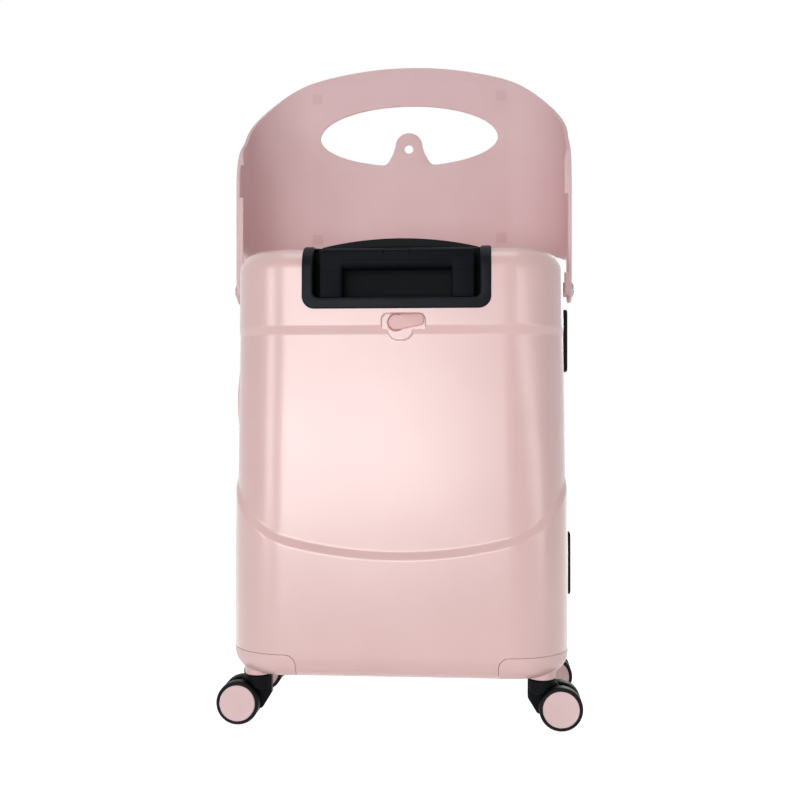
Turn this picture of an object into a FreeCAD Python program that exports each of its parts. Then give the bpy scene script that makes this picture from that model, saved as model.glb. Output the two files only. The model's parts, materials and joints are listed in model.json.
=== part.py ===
import FreeCAD, Part
import math
import os
import Sketcher

Vector = FreeCAD.Vector
X_AXIS = Vector(1, 0, 0)
Y_AXIS = Vector(0, 1, 0)
Z_AXIS = Vector(0, 0, 1)

# Ride on cabin suitcase: a two-half hard shell on four twin-wheel casters, a telescopic trolley
# handle sunk into the rear face and a U-shaped seat guard that swings over the top on two pivots.
# Millimetres, +Z up, the trolley (rear) face towards -Y, origin on the floor under the case.

doc = FreeCAD.newDocument("ride_on_suitcase")
sheet = doc.addObject("Spreadsheet::Sheet", "sizes")

driving_sizes = {
    # case shells
    "upper_half_width": 191.0,
    "lower_half_width": 195.0,
    "rear_depth": 120.0,
    "front_depth": 123.0,
    "case_bottom": 59.0,
    "case_top": 550.0,
    "corner_radius": 70.0,
    "edge_radius": 25.0,
    "shell_wall": 3.0,
    "recess_depth": 5.0,
    "step_height": 454.0,
    "step_drop": 6.0,
    "rear_rim": 14.0,
    "zip_width": 14.0,
    "zip_gap": 0.6,
    "tape_thick": 2.0,
    "tape_inset": 0.6,
    "tape_corner": 22.0,
    "seam_gap": 0.3,
    # seat guard
    "pivot_offset": -4.0,
    "pivot_height": 510.0,
    "guard_half_width": 204.0,
    "guard_wall": 4.5,
    "guard_reach": 112.0,
    "guard_bottom": 64.0,
    "guard_top": 307.0,
    "crown_radius": 470.0,
    "shoulder_radius": 100.0,
    "guard_corner": 75.0,
    "arm_half_width": 16.0,
    "arm_root": 43.0,
    "wing_rise": 130.0,
    "wing_round": 60.0,
    "wing_slope": 29.0,
    "lip_width": 4.0,
    "lip_depth": 4.5,
    "recess_play": 1.0,
    "window_half_width": 117.6,
    "window_level": 214.0,
    "window_rise": 42.0,
    "window_drop": 37.5,
    "tab_head_radius": 18.0,
    "tab_head_level": 202.5,
    "tab_base_half": 40.0,
    "tab_flare_in": 4.0,
    "tab_flare_up": 0.75,
    "tab_hole_radius": 5.75,
    "tab_hole_level": 199.0,
    "bumper_side": 13.0,
    "bumper_proud": 0.6,
    "bumper_spread": 122.0,
    "bumper_upper": 268.0,
    "bumper_lower": 80.0,
    "left_notch_low": 117.0,
    "left_notch_high": 153.0,
    "right_notch_low": 20.0,
    "right_notch_high": 114.0,
    # guard pivots
    "screw_radius": 4.0,
    "screw_head_radius": 10.0,
    "screw_head_thick": 3.8,
    "pivot_play": 0.06,
    "head_play": 0.3,
    "bush_radius": 9.0,
    "nut_radius": 10.0,
    "nut_thick": 7.0,
    # turn latch
    "latch_level": 463.5,
    "latch_length": 30.0,
    "latch_round": 7.0,
    "latch_end_round": 6.9,
    "latch_tip_half": 4.8,
    "latch_thick": 3.2,
    "latch_proud": 1.5,
    "latch_play": 0.5,
    "latch_pin_radius": 2.5,
    "latch_pin_head": 4.0,
    "pocket_half": 17.0,
    "pocket_right": 34.0,
    "pocket_top": 473.5,
    "pocket_round": 9.0,
    "latch_notch_half": 14.0,
    "latch_notch_height": 16.0,
    "latch_notch_depth": 2.6,
    # trolley cup and handle
    "cup_half_width": 103.0,
    "cup_low": 483.0,
    "cup_depth": 38.0,
    "cup_wall": 6.0,
    "cup_back_wall": 3.6,
    "bezel_proud": 2.0,
    "bezel_lap": 4.0,
    "bezel_corner": 13.0,
    "tube_spread": 75.5,
    "tube_line": 20.0,
    "tube_width": 27.0,
    "tube_depth": 20.0,
    "tube_wall": 1.5,
    "tube_round": 3.5,
    "tube_round_step": 0.5,
    "tube_play": 0.3,
    "tube_low": 90.0,
    "stage_stagger": 6.0,
    "socket_wall": 4.0,
    "grip_low": 525.0,
    "grip_top": 547.0,
    "grip_depth": 26.0,
    "grip_leg_width": 27.0,
    "grip_leg_low": 495.0,
    "grip_round": 6.0,
    "button_half": 15.0,
    "button_depth": 14.0,
    "button_height": 8.0,
    "button_proud": 2.0,
    "button_round": 1.8,
    "button_travel": 3.0,
    "button_play": 0.3,
    # carry handles and side feet
    "bow_half_span": 92.0,
    "bow_rise": 21.0,
    "bow_thick": 5.0,
    "bow_width": 26.0,
    "bow_line": 75.0,
    "bow_mount_height": 4.0,
    "bow_mount_length": 24.0,
    "side_bow_level": 378.0,
    "side_bow_half_span": 84.0,
    "side_reach": 22.0,
    "side_bow_line": 48.0,
    "side_bow_width": 22.0,
    "foot_length": 78.0,
    "foot_width": 26.0,
    "foot_line": 46.0,
    "foot_round": 6.0,
    "foot_reach": 12.0,
    "foot_upper_level": 450.0,
    "foot_lower_level": 172.0,
    # corner brackets and casters
    "bracket_inner": 115.0,
    "bracket_height": 87.0,
    "bracket_reach": 30.0,
    "bracket_corner": 12.0,
    "caster_spread": 165.0,
    "caster_line": 45.0,
    "boss_radius": 15.5,
    "boss_bottom": 49.0,
    "boss_blend": 6.0,
    "swivel_play": 0.5,
    "swivel_pin_radius": 5.0,
    "swivel_pin_top": 80.0,
    "shaft_play": 0.05,
    "fork_radius": 16.0,
    "fork_head": 9.0,
    "fork_skirt": 17.0,
    "fork_width": 12.0,
    "fork_end_radius": 9.0,
    "fork_end_round": 8.0,
    "trail": 21.0,
    "wheel_radius": 25.0,
    "wheel_width": 16.0,
    "wheel_side_play": 1.0,
    "hub_radius": 21.0,
    "hub_dish": 0.8,
    "hub_boss_radius": 7.0,
    "tyre_round": 3.5,
    "axle_radius": 3.0,
    "axle_cover": 3.0,
    "axle_end_play": 0.75,
    "wheel_clearance": 1.0,
    # zip sliders
    "slider_width": 9.0,
    "slider_length": 13.0,
    "slider_thick": 3.2,
    "slider_play": 0.3,
    "puller_length": 26.0,
    "puller_width": 6.0,
    "puller_thick": 1.6,
    "slider_upper_level": 470.0,
    "slider_lower_level": 425.0,
}

for row, (alias, value) in enumerate(driving_sizes.items(), start=1):
    sheet.set(f"A{row}", alias)
    sheet.set(f"B{row}", str(value))
    sheet.setAlias(f"B{row}", alias)
doc.recompute()

sub_parts = []


def size(expression):
    """Number that an expression over the sheet's cells gives."""
    return float(sheet.evalExpression(expression))


def cells(*aliases):
    return [float(sheet.get(alias)) for alias in aliases]


def keep(part, label):
    part.Label = label
    sub_parts.append(part)
    return part


def keep_shape(label, shape):
    feature = doc.addObject("Part::Feature", label)
    feature.Shape = shape
    return keep(feature, label)


# Sketch based pieces

def new_body(label):
    body = doc.addObject("PartDesign::Body", label)
    body.AllowCompound = True
    return keep(body, label)


def place(body, x="0", y="0", z="0", turn=0.0):
    body.Placement = FreeCAD.Placement(Vector(), FreeCAD.Rotation(Vector(0, 0, 1), turn))
    for axis, expression in zip("xyz", (x, y, z)):
        body.setExpression(f"Placement.Base.{axis}", expression)


def sketch_on(body, role, outlines, offset="0"):
    """Closed outlines whose every corner is tied to the sheet; role names the origin plane."""
    plane = next(item for item in body.Origin.OriginFeatures if item.Role == role)
    sketch = body.newObject("Sketcher::SketchObject", body.Name + "_sketch")
    sketch.AttachmentSupport = (plane, [""])
    sketch.MapMode = "FlatFace"
    sketch.setExpression("AttachmentOffset.Base.z", offset)
    for corners in outlines:
        first = sketch.GeometryCount
        count = len(corners)
        points = [Vector(size(u), size(v), 0) for u, v in corners]
        for index in range(count):
            sketch.addGeometry(Part.LineSegment(points[index], points[(index + 1) % count]))
        for index in range(count):
            following = first + (index + 1) % count
            sketch.addConstraint(Sketcher.Constraint("Coincident", first + index, 2, following, 1))
        for index, (u, v) in enumerate(corners):
            point = points[index]
            for kind, expression, start in (("DistanceX", u, point.x), ("DistanceY", v, point.y)):
                tie = Sketcher.Constraint(kind, -1, 1, first + index, 1, start)
                number = sketch.addConstraint(tie)
                sketch.setExpression(f"Constraints[{number}]", expression)
    return sketch


def circle_on(body, role, u, v, radius, offset="0"):
    """A circle tied to the sheet by its centre and radius."""
    sketch = sketch_on(body, role, [], offset)
    sketch.addGeometry(Part.Circle(Vector(size(u), size(v), 0), Z_AXIS, size(radius)))
    for kind, expression in (("DistanceX", u), ("DistanceY", v)):
        number = sketch.addConstraint(Sketcher.Constraint(kind, -1, 1, 0, 3, size(expression)))
        sketch.setExpression(f"Constraints[{number}]", expression)
    number = sketch.addConstraint(Sketcher.Constraint("Radius", 0, size(radius)))
    sketch.setExpression(f"Constraints[{number}]", radius)
    return sketch


def pad(body, sketch, length, midplane=False, reverse=False):
    feature = body.newObject("PartDesign::Pad", body.Name + "_pad")
    feature.Profile = sketch
    feature.setExpression("Length", length)
    feature.Midplane = midplane
    feature.Reversed = reverse
    doc.recompute()
    return feature


def pocket(body, sketch, length, midplane=False, reverse=False):
    feature = body.newObject("PartDesign::Pocket", body.Name + "_pocket")
    feature.Profile = sketch
    feature.setExpression("Length", length)
    feature.Midplane = midplane
    feature.Reversed = reverse
    doc.recompute()
    return feature


def revolve(body, sketch, axis):
    feature = body.newObject("PartDesign::Revolution", body.Name + "_turned")
    feature.Profile = sketch
    feature.ReferenceAxis = (sketch, [axis])
    feature.Angle = 360
    doc.recompute()
    return feature


def round_edges(body, base, radius, wanted):
    """Rounds the edges of the base feature that the wanted test picks."""
    names = [f"Edge{number}" for number, edge in enumerate(base.Shape.Edges, start=1) if wanted(edge)]
    feature = body.newObject("PartDesign::Fillet", body.Name + "_round")
    feature.Base = (base, names)
    feature.setExpression("Radius", radius)
    doc.recompute()
    return feature


def along(edge, direction):
    return isinstance(edge.Curve, Part.Line) and abs(abs(edge.Curve.Direction.dot(direction)) - 1) < 1e-6


def rectangle(u_low, v_low, u_high, v_high):
    return [(u_low, v_low), (u_high, v_low), (u_high, v_high), (u_low, v_high)]


# Moulded case halves

def span_box(low, high):
    return Part.makeBox(*(b - a for a, b in zip(low, high)), Vector(*low))


def flat(edge, axis, level):
    box = edge.BoundBox
    low, high = {"y": (box.YMin, box.YMax), "z": (box.ZMin, box.ZMax)}[axis]
    return abs(low - level) < 1e-6 and abs(high - level) < 1e-6


def rounded_block(half_width, closed, opened, bottom, top, corner, edge_radius):
    """Half a case: upright corners rounded on the closed face, the opened face left square."""
    block = span_box((-half_width, min(closed, opened), bottom), (half_width, max(closed, opened), top))
    uprights = [edge for edge in block.Edges if along(edge, Z_AXIS) and flat(edge, "y", closed)]
    block = block.makeFillet(corner, uprights)
    rims = [edge for edge in block.Edges
            if (flat(edge, "z", bottom) or flat(edge, "z", top)) and not flat(edge, "y", opened)]
    return block.makeFillet(edge_radius, rims)


def stowed_outline(spare, base):
    """Front outline of the guard hanging down over the rear face, grown by spare."""
    half, crown, shoulder, top = cells("guard_half_width", "crown_radius", "shoulder_radius", "guard_top")
    pivot = size("sizes.pivot_height")
    crown_z = pivot - top + crown
    shoulder_x = half - shoulder
    lift = math.sqrt((crown - shoulder) ** 2 - shoulder_x ** 2)
    shoulder_z = crown_z - lift
    lean = math.atan2(lift, shoulder_x)

    def on_shoulder(angle, side):
        reach = shoulder + spare
        return Vector(side * (shoulder_x + reach * math.cos(angle)), 0,
                      shoulder_z - reach * math.sin(angle))

    left_base = Vector(-half - spare, 0, base)
    right_base = Vector(half + spare, 0, base)
    peak = Vector(0, 0, crown_z - crown - spare)
    edges = [
        Part.LineSegment(left_base, on_shoulder(0, -1)),
        Part.Arc(on_shoulder(0, -1), on_shoulder(lean / 2, -1), on_shoulder(lean, -1)),
        Part.Arc(on_shoulder(lean, -1), peak, on_shoulder(lean, 1)),
        Part.Arc(on_shoulder(lean, 1), on_shoulder(lean / 2, 1), on_shoulder(0, 1)),
        Part.LineSegment(on_shoulder(0, 1), right_base),
        Part.LineSegment(right_base, left_base),
    ]
    return Part.Wire([edge.toShape() for edge in edges])


def smile_space(floor, spare):
    """Space over the smile-shaped step: sloped on the rear face and straight along the sides."""
    overhang = size("sizes.recess_depth * 4")
    slope = size("sizes.step_drop / sizes.recess_depth")
    base = size("sizes.case_top + sizes.edge_radius * 2")
    mouth = stowed_outline(spare + slope * overhang, base)
    mouth.translate(Vector(0, floor - overhang, 0))
    neck = stowed_outline(spare, base)
    neck.translate(Vector(0, floor, 0))
    sloped = Part.makeLoft([mouth, neck], True, True)
    straight = Part.Face(neck).extrude(Vector(0, size("sizes.rear_depth + sizes.front_depth * 2"), 0))
    return sloped.fuse(straight)


def step_space(face):
    """Space over the horizontal step, whose edge slopes back from the given face."""
    level, drop, depth = cells("step_height", "step_drop", "recess_depth")
    slope = drop / depth
    ahead = depth * 4
    behind = depth
    back = size("sizes.front_depth * 2")
    top = size("sizes.case_top + sizes.edge_radius * 2")
    half = size("sizes.lower_half_width * 2")
    corners = [
        Vector(-half, face - ahead, level + slope * ahead),
        Vector(-half, face + behind, level - slope * behind),
        Vector(-half, back, level - slope * behind),
        Vector(-half, back, top),
        Vector(-half, face - ahead, top),
    ]
    return Part.Face(Part.makePolygon(corners + corners[:1])).extrude(Vector(half * 2, 0, 0))


def rear_form(inset, opened):
    upper, lower, rear, bottom, top, corner, edge, recess, play = cells(
        "upper_half_width", "lower_half_width", "rear_depth", "case_bottom", "case_top",
        "corner_radius", "edge_radius", "recess_depth", "recess_play")
    floor = -rear + recess

    def block(half_width, closed):
        return rounded_block(half_width - inset, closed + inset, opened, bottom + inset, top - inset,
                             corner - inset, edge - inset)

    recessed = block(upper, floor)
    shoulder = block(upper, -rear).common(step_space(-rear + inset))
    belly = block(lower, -rear).cut(smile_space(floor + inset, play + inset))
    return recessed.fuse([shoulder, belly])


def front_form(inset, opened):
    upper, lower, front, bottom, top, corner, edge, play = cells(
        "upper_half_width", "lower_half_width", "front_depth", "case_bottom", "case_top",
        "corner_radius", "edge_radius", "recess_play")

    def block(half_width):
        return rounded_block(half_width - inset, front - inset, opened, bottom + inset, top - inset,
                             corner - inset, edge - inset)

    above = smile_space(size("-sizes.rear_depth"), play + inset)
    return block(upper).fuse(block(lower).cut(above))


def bracket_space(side, end, spare):
    """Bottom corner taken by a caster bracket, grown by spare; side and end are the signs of X and Y."""
    inner, height, reach, corner = cells("bracket_inner", "bracket_height", "bracket_reach", "bracket_corner")
    wide = size("sizes.lower_half_width * 2")
    low = (min(side * (inner - spare), side * wide), min(end * (reach - spare), end * wide), 0)
    high = (max(side * (inner - spare), side * wide), max(end * (reach - spare), end * wide), height + spare)
    block = span_box(low, high)
    inner_top = [edge for edge in block.Edges if along(edge, Y_AXIS) and flat(edge, "z", height + spare)
                 and abs(edge.BoundBox.XMin - side * (inner - spare)) < 1e-6]
    return block.makeFillet(corner, inner_top)


def upright_post(x, y, radius, low, high):
    return Part.makeCylinder(radius, high - low, Vector(x, y, low))


rear_rim = size("sizes.rear_rim")
lid_rim = size("sizes.rear_rim + sizes.zip_width")
wall = size("sizes.shell_wall")
beyond = size("sizes.zip_width")
rear_outer = rear_form(0, rear_rim)
rear_inner = rear_form(wall, rear_rim + beyond)
front_outer = front_form(0, lid_rim)
front_inner = front_form(wall, lid_rim - beyond)

pivot_y, pivot_z = cells("pivot_offset", "pivot_height")
rear_y = size("-sizes.rear_depth")


def pocket_space():
    """Open-bottomed pocket that the turn latch lies in, with a round left end."""
    half, right, top, round_end = cells("pocket_half", "pocket_right", "pocket_top", "pocket_round")
    floor = size("-sizes.rear_depth - sizes.latch_proud + sizes.latch_thick + sizes.latch_play")
    ahead = rear_y - size("sizes.recess_depth")
    low = size("sizes.step_height - sizes.step_drop * 3")
    space = span_box((-half, ahead, low), (right, floor, top))
    rounds = [edge for edge in space.Edges if along(edge, Y_AXIS) and flat(edge, "z", top)]
    return space.makeFillet(round_end, rounds)


def build_rear_shell():
    cup_half, cup_low, cup_depth = cells("cup_half_width", "cup_low", "cup_depth")
    top = size("sizes.case_top")
    shell = rear_outer.cut(rear_inner)
    boss = span_box((-size("sizes.pocket_half + sizes.shell_wall"), rear_y + wall / 2,
                     size("sizes.step_height - sizes.step_drop * 2")),
                    (size("sizes.pocket_right + sizes.shell_wall"), rear_y + wall * 4,
                     size("sizes.cup_low")))
    shell = shell.fuse(boss.common(rear_outer))
    cuts = [span_box((-cup_half, rear_y - cup_depth, cup_low), (cup_half, rear_y + cup_depth, top * 2)),
            pocket_space(),
            Part.makeCylinder(size("sizes.latch_pin_radius"), wall * 6,
                              Vector(0, rear_y - wall, size("sizes.latch_level")), Y_AXIS),
            Part.makeCylinder(size("sizes.screw_radius"), size("sizes.lower_half_width * 4"),
                              Vector(size("-sizes.lower_half_width * 2"), pivot_y, pivot_z), X_AXIS)]
    gap = size("sizes.seam_gap")
    cuts += [bracket_space(side, -1, gap) for side in (-1, 1)]
    return shell.cut(cuts)


def build_front_shell():
    gap = size("sizes.seam_gap")
    return front_outer.cut([front_inner] + [bracket_space(side, 1, gap) for side in (-1, 1)])


keep_shape("rear_shell", build_rear_shell())
keep_shape("front_shell", build_front_shell())


caster_y = {"rear": "(sizes.caster_line - sizes.rear_depth)",
            "front": "(sizes.front_depth - sizes.caster_line)"}


def build_bracket(side, end):
    """Moulded corner with a flared round boss under it that the caster turns in."""
    boss, blend, bottom, pin, play, top = cells(
        "boss_radius", "boss_blend", "boss_bottom", "swivel_pin_radius", "shaft_play", "swivel_pin_top")
    outer = rear_outer if end < 0 else front_outer
    corner = outer.common(bracket_space(side, end, 0))
    x = side * size("sizes.caster_spread")
    y = size(caster_y["rear" if end < 0 else "front"])
    flare_low = size("sizes.case_bottom - sizes.boss_blend / 2")
    inside = size("sizes.case_bottom + sizes.edge_radius / 2")
    collar = upright_post(x, y, boss, bottom, inside)
    flare = Part.makeCone(boss, boss + blend, inside - flare_low, Vector(x, y, flare_low))
    return corner.fuse([collar, flare]).cut(upright_post(x, y, pin + play, bottom, top))


for side, side_name in ((-1, "left"), (1, "right")):
    for end, end_name in ((-1, "rear"), (1, "front")):
        keep_shape(f"corner_bracket_{end_name}_{side_name}", build_bracket(side, end))


# Zip tapes on the two rims

for label, low in (("zip_tape_rear", "sizes.rear_rim"),
                   ("zip_tape_front", "sizes.rear_rim + (sizes.zip_width + sizes.zip_gap) / 2")):
    body = new_body(label)
    rings = []
    for inset in ("sizes.tape_inset", "(sizes.tape_inset + sizes.tape_thick)"):
        rings.append(rectangle(f"-sizes.upper_half_width + {inset}", f"sizes.case_bottom + {inset}",
                               f"sizes.upper_half_width - {inset}", f"sizes.case_top - {inset}"))
    ring = pad(body, sketch_on(body, "XZ_Plane", rings, f"-({low})"), "(sizes.zip_width - sizes.zip_gap) / 2",
               reverse=True)
    round_edges(body, ring, "sizes.tape_corner", lambda edge: along(edge, Y_AXIS))


# Seat guard

def wing_outline():
    """Side outline of the guard: the arm round the pivot, and the wing between two sloped edges."""
    arm, root, rise, bend, slope, reach, bottom, top = cells(
        "arm_half_width", "arm_root", "wing_rise", "wing_round", "wing_slope", "guard_reach",
        "guard_bottom", "guard_top")
    turn = math.radians(90 - slope)
    rear = pivot_y - arm
    front = pivot_y + reach * 2
    high = pivot_z + top * 2

    def on_bend(angle):
        return Vector(0, rear + bend - bend * math.cos(angle), pivot_z + rise + bend * math.sin(angle))

    lean = on_bend(turn)
    corner_y = size("sizes.pivot_offset + sizes.guard_reach + sizes.guard_wall - sizes.guard_corner")
    corner_z = lean.z + (corner_y - lean.y) * math.tan(math.radians(slope))
    root_y = pivot_y + arm
    hem_y = root_y + (bottom - root) / math.tan(math.radians(slope))
    points = [lean, Vector(0, corner_y, corner_z), Vector(0, corner_y, high), Vector(0, front, high),
              Vector(0, front, pivot_z + bottom), Vector(0, hem_y, pivot_z + bottom),
              Vector(0, root_y, pivot_z + root), Vector(0, root_y, pivot_z)]
    edges = [Part.LineSegment(Vector(0, rear, pivot_z), on_bend(0)),
             Part.Arc(on_bend(0), on_bend(turn / 2), lean)]
    edges += [Part.LineSegment(a, b) for a, b in zip(points[:-1], points[1:])]
    edges.append(Part.Arc(points[-1], Vector(0, pivot_y, pivot_z - arm), Vector(0, rear, pivot_z)))
    return Part.Wire([edge.toShape() for edge in edges]), corner_z


def crown_height(across):
    """Height of the guard's top edge at a distance from its middle."""
    half, crown, shoulder, top = cells("guard_half_width", "crown_radius", "shoulder_radius", "guard_top")
    crown_z = pivot_z + top - crown
    shoulder_x = half - shoulder
    lift = math.sqrt((crown - shoulder) ** 2 - shoulder_x ** 2)
    if across < crown * shoulder_x / (crown - shoulder):
        return crown_z + math.sqrt(crown ** 2 - across ** 2)
    return crown_z + lift + math.sqrt(max(shoulder ** 2 - (across - shoulder_x) ** 2, 0))


def crown_cutter(wing_top):
    """Space over the top edge of the panel and its bent corners, square to the sheet everywhere."""
    half, sheet_wall, corner, reach = cells("guard_half_width", "guard_wall", "guard_corner", "guard_reach")
    bend_x = half - corner
    bend_y = pivot_y + reach + sheet_wall - corner
    steps = 6

    def edge_curve(radius):
        half_curve = []
        for step in range(steps + 1):
            angle = math.pi / 2 * step / steps
            across = bend_x + corner * math.cos(angle)
            height = wing_top if step == 0 else crown_height(across)
            half_curve.append(Vector(bend_x + radius * math.cos(angle),
                                     bend_y + radius * math.sin(angle), height))
        for across in (bend_x * 2 / 3, bend_x / 3):
            half_curve.append(Vector(across, bend_y + radius, crown_height(across)))
        middle = [Vector(0, bend_y + radius, crown_height(0))]
        mirrored = [Vector(-point.x, point.y, point.z) for point in reversed(half_curve)]
        curve = Part.BSplineCurve()
        curve.interpolate(half_curve + middle + mirrored)
        return curve.toShape()

    over = Part.makeRuledSurface(edge_curve(corner - sheet_wall * 4), edge_curve(corner + sheet_wall * 3))
    return over.extrude(Vector(0, 0, reach * 4))


def guard_window():
    """Opening through the panel: two half ellipses that meet at its round ends."""
    half, level, rise, drop = cells("window_half_width", "window_level", "window_rise", "window_drop")
    centre = Vector(0, pivot_y, pivot_z + level)
    side = centre + Vector(half, 0, 0)
    arcs = []
    for height, start in ((rise, 0), (drop, math.pi)):
        ellipse = Part.Ellipse(side, centre + Vector(0, 0, height), centre)
        arcs.append(Part.ArcOfEllipse(ellipse, start, start + math.pi).toShape())
    return Part.Face(Part.Wire(arcs)).extrude(Vector(0, size("sizes.guard_reach * 2"), 0))


def tab_outline():
    """Flared tab on the window's lower edge, which ends in a round head."""
    head, level, base, window, drop = cells(
        "tab_head_radius", "tab_head_level", "tab_base_half", "window_level", "window_drop")
    foot = pivot_z + window - drop - head / 2
    centre = pivot_z + level
    neck = Vector(head, 0, centre)
    flare_in, flare_up = cells("tab_flare_in", "tab_flare_up")
    flare = Vector((head + base) / 2 - flare_in, 0, (centre + foot) / 2 + flare_up)
    right = Part.Arc(Vector(base, 0, foot), flare, neck)
    crest = Part.Arc(neck, Vector(0, 0, centre + head), Vector(-head, 0, centre))
    left = Part.Arc(Vector(-head, 0, centre), Vector(-flare.x, 0, flare.z), Vector(-base, 0, foot))
    close = Part.LineSegment(Vector(-base, 0, foot), Vector(base, 0, foot))
    return Part.Wire([edge.toShape() for edge in (right, crest, left, close)])


def build_guard():
    half, sheet_wall, reach, corner, arm, top = cells(
        "guard_half_width", "guard_wall", "guard_reach", "guard_corner", "arm_half_width", "guard_top")
    low = pivot_z - arm * 2
    high = pivot_z + top * 2
    rear = pivot_y - arm
    inner_face = pivot_y + reach
    outer_face = inner_face + sheet_wall

    def bent_sheet(half_width, face, radius, start):
        block = span_box((-half_width, start, low), (half_width, face, high))
        uprights = [edge for edge in block.Edges if along(edge, Z_AXIS) and flat(edge, "y", face)]
        return block.makeFillet(radius, uprights)

    lip, lip_depth = cells("lip_width", "lip_depth")
    sheet_form = bent_sheet(half, outer_face, corner, rear)
    inside = bent_sheet(half - sheet_wall, inner_face, corner - sheet_wall, rear + lip_depth)
    lip_edge = half - sheet_wall - lip
    mouth = span_box((-lip_edge, rear - arm, low), (lip_edge, rear + reach / 2, high))
    wings = sheet_form.cut([inside, mouth])

    outline, wing_top = wing_outline()
    side_view = Part.Face(outline).extrude(Vector(half * 4, 0, 0))
    side_view.translate(Vector(-half * 2, 0, 0))
    guard = wings.common(side_view).cut(crown_cutter(wing_top))

    tab = Part.Face(tab_outline()).extrude(Vector(0, sheet_wall, 0))
    tab.translate(Vector(0, inner_face, 0))
    guard = guard.cut(guard_window()).fuse(tab)

    hole, hole_level, screw, play = cells("tab_hole_radius", "tab_hole_level", "screw_radius", "pivot_play")
    notch_half, notch_high, notch_deep, bottom = cells(
        "latch_notch_half", "latch_notch_height", "latch_notch_depth", "guard_bottom")
    lip_low = half - sheet_wall - lip * 2
    cuts = [
        Part.makeCylinder(hole, reach, Vector(0, inner_face - reach / 2, pivot_z + hole_level), Y_AXIS),
        Part.makeCylinder(screw + play, half * 4, Vector(-half * 2, pivot_y, pivot_z), X_AXIS),
        span_box((-notch_half, outer_face - notch_deep, pivot_z + bottom - arm),
                 (notch_half, outer_face + reach, pivot_z + bottom + notch_high)),
    ]
    for sign, name in ((-1, "left"), (1, "right")):
        notch_low, notch_top = cells(f"{name}_notch_low", f"{name}_notch_high")
        ends = sorted((sign * lip_low, sign * (half - sheet_wall)))
        cuts.append(span_box((ends[0], rear - arm, pivot_z + notch_low),
                             (ends[1], rear + lip_depth, pivot_z + notch_top)))
    return guard.cut(cuts).removeSplitter()


keep_shape("seat_guard", build_guard())

bumpers = new_body("guard_bumpers")
squares = []
for across in ("-sizes.bumper_spread", "sizes.bumper_spread"):
    for level in ("sizes.bumper_lower", "sizes.bumper_upper"):
        squares.append(rectangle(f"{across} - sizes.bumper_side / 2", f"{level} - sizes.bumper_side / 2",
                                 f"{across} + sizes.bumper_side / 2", f"{level} + sizes.bumper_side / 2"))
pad(bumpers, sketch_on(bumpers, "XZ_Plane", squares), "sizes.bumper_proud")
place(bumpers, y="sizes.pivot_offset + sizes.guard_reach", z="sizes.pivot_height")


# Pivot screws, spacer bushes and nuts, turned about the guard's axis

def turned_pair(label, profile):
    """The same turned piece on the right and, mirrored, on the left of the pivot line."""
    body = new_body(label)
    mirrored = [(f"-({u})", v) for u, v in profile]
    revolve(body, sketch_on(body, "XY_Plane", [profile, mirrored]), "H_Axis")
    place(body, y="sizes.pivot_offset", z="sizes.pivot_height")


screw_end = "(sizes.upper_half_width - sizes.shell_wall - sizes.nut_thick)"
head_seat = "(sizes.guard_half_width + sizes.head_play)"
head_face = f"({head_seat} + sizes.screw_head_thick)"
turned_pair("pivot_screws", [
    (screw_end, "0"), (head_face, "0"),
    (head_face, "sizes.screw_head_radius - sizes.screw_head_thick / 3"),
    (f"{head_face} - sizes.screw_head_thick / 3", "sizes.screw_head_radius"),
    (head_seat, "sizes.screw_head_radius"), (head_seat, "sizes.screw_radius"),
    (screw_end, "sizes.screw_radius")])
bush_end = "(sizes.guard_half_width - sizes.guard_wall - sizes.head_play)"
turned_pair("pivot_bushes", rectangle("sizes.upper_half_width", "sizes.screw_radius",
                                      bush_end, "sizes.bush_radius"))
turned_pair("pivot_nuts", rectangle(screw_end, "sizes.screw_radius",
                                    "sizes.upper_half_width - sizes.shell_wall", "sizes.nut_radius"))


# Turn latch over the stowed guard's edge

latch = new_body("latch_lever")
lever = pad(latch, sketch_on(latch, "XZ_Plane", [[
    ("-sizes.latch_round", "-sizes.latch_round"), ("sizes.latch_round", "-sizes.latch_round"),
    ("sizes.latch_length", "sizes.latch_round - sizes.latch_tip_half * 2"),
    ("sizes.latch_length", "sizes.latch_round"), ("-sizes.latch_round", "sizes.latch_round")]]),
    "sizes.latch_thick")
lever = round_edges(latch, lever, "sizes.latch_end_round",
                    lambda edge: along(edge, Y_AXIS) and edge.Vertexes[0].Point.x < 0)
pocket(latch, circle_on(latch, "XZ_Plane", "0", "0", "sizes.latch_pin_radius + sizes.shaft_play"),
       "sizes.latch_thick * 3", midplane=True)
place(latch, y="-sizes.rear_depth - sizes.latch_proud + sizes.latch_thick", z="sizes.latch_level")

latch_pin = new_body("latch_pin")
pin_front = "-(sizes.latch_proud + sizes.latch_play)"
pin_back = "sizes.shell_wall * 3"
revolve(latch_pin, sketch_on(latch_pin, "XY_Plane", [[
    ("0", f"{pin_front} - sizes.latch_play * 2"), ("sizes.latch_pin_head", f"{pin_front} - sizes.latch_play"),
    ("sizes.latch_pin_head", pin_front), ("sizes.latch_pin_radius", pin_front),
    ("sizes.latch_pin_radius", pin_back), ("0", pin_back)]]), "V_Axis")
place(latch_pin, y="-sizes.rear_depth", z="sizes.latch_level")


# Trolley cup sunk into the rear top edge

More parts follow.
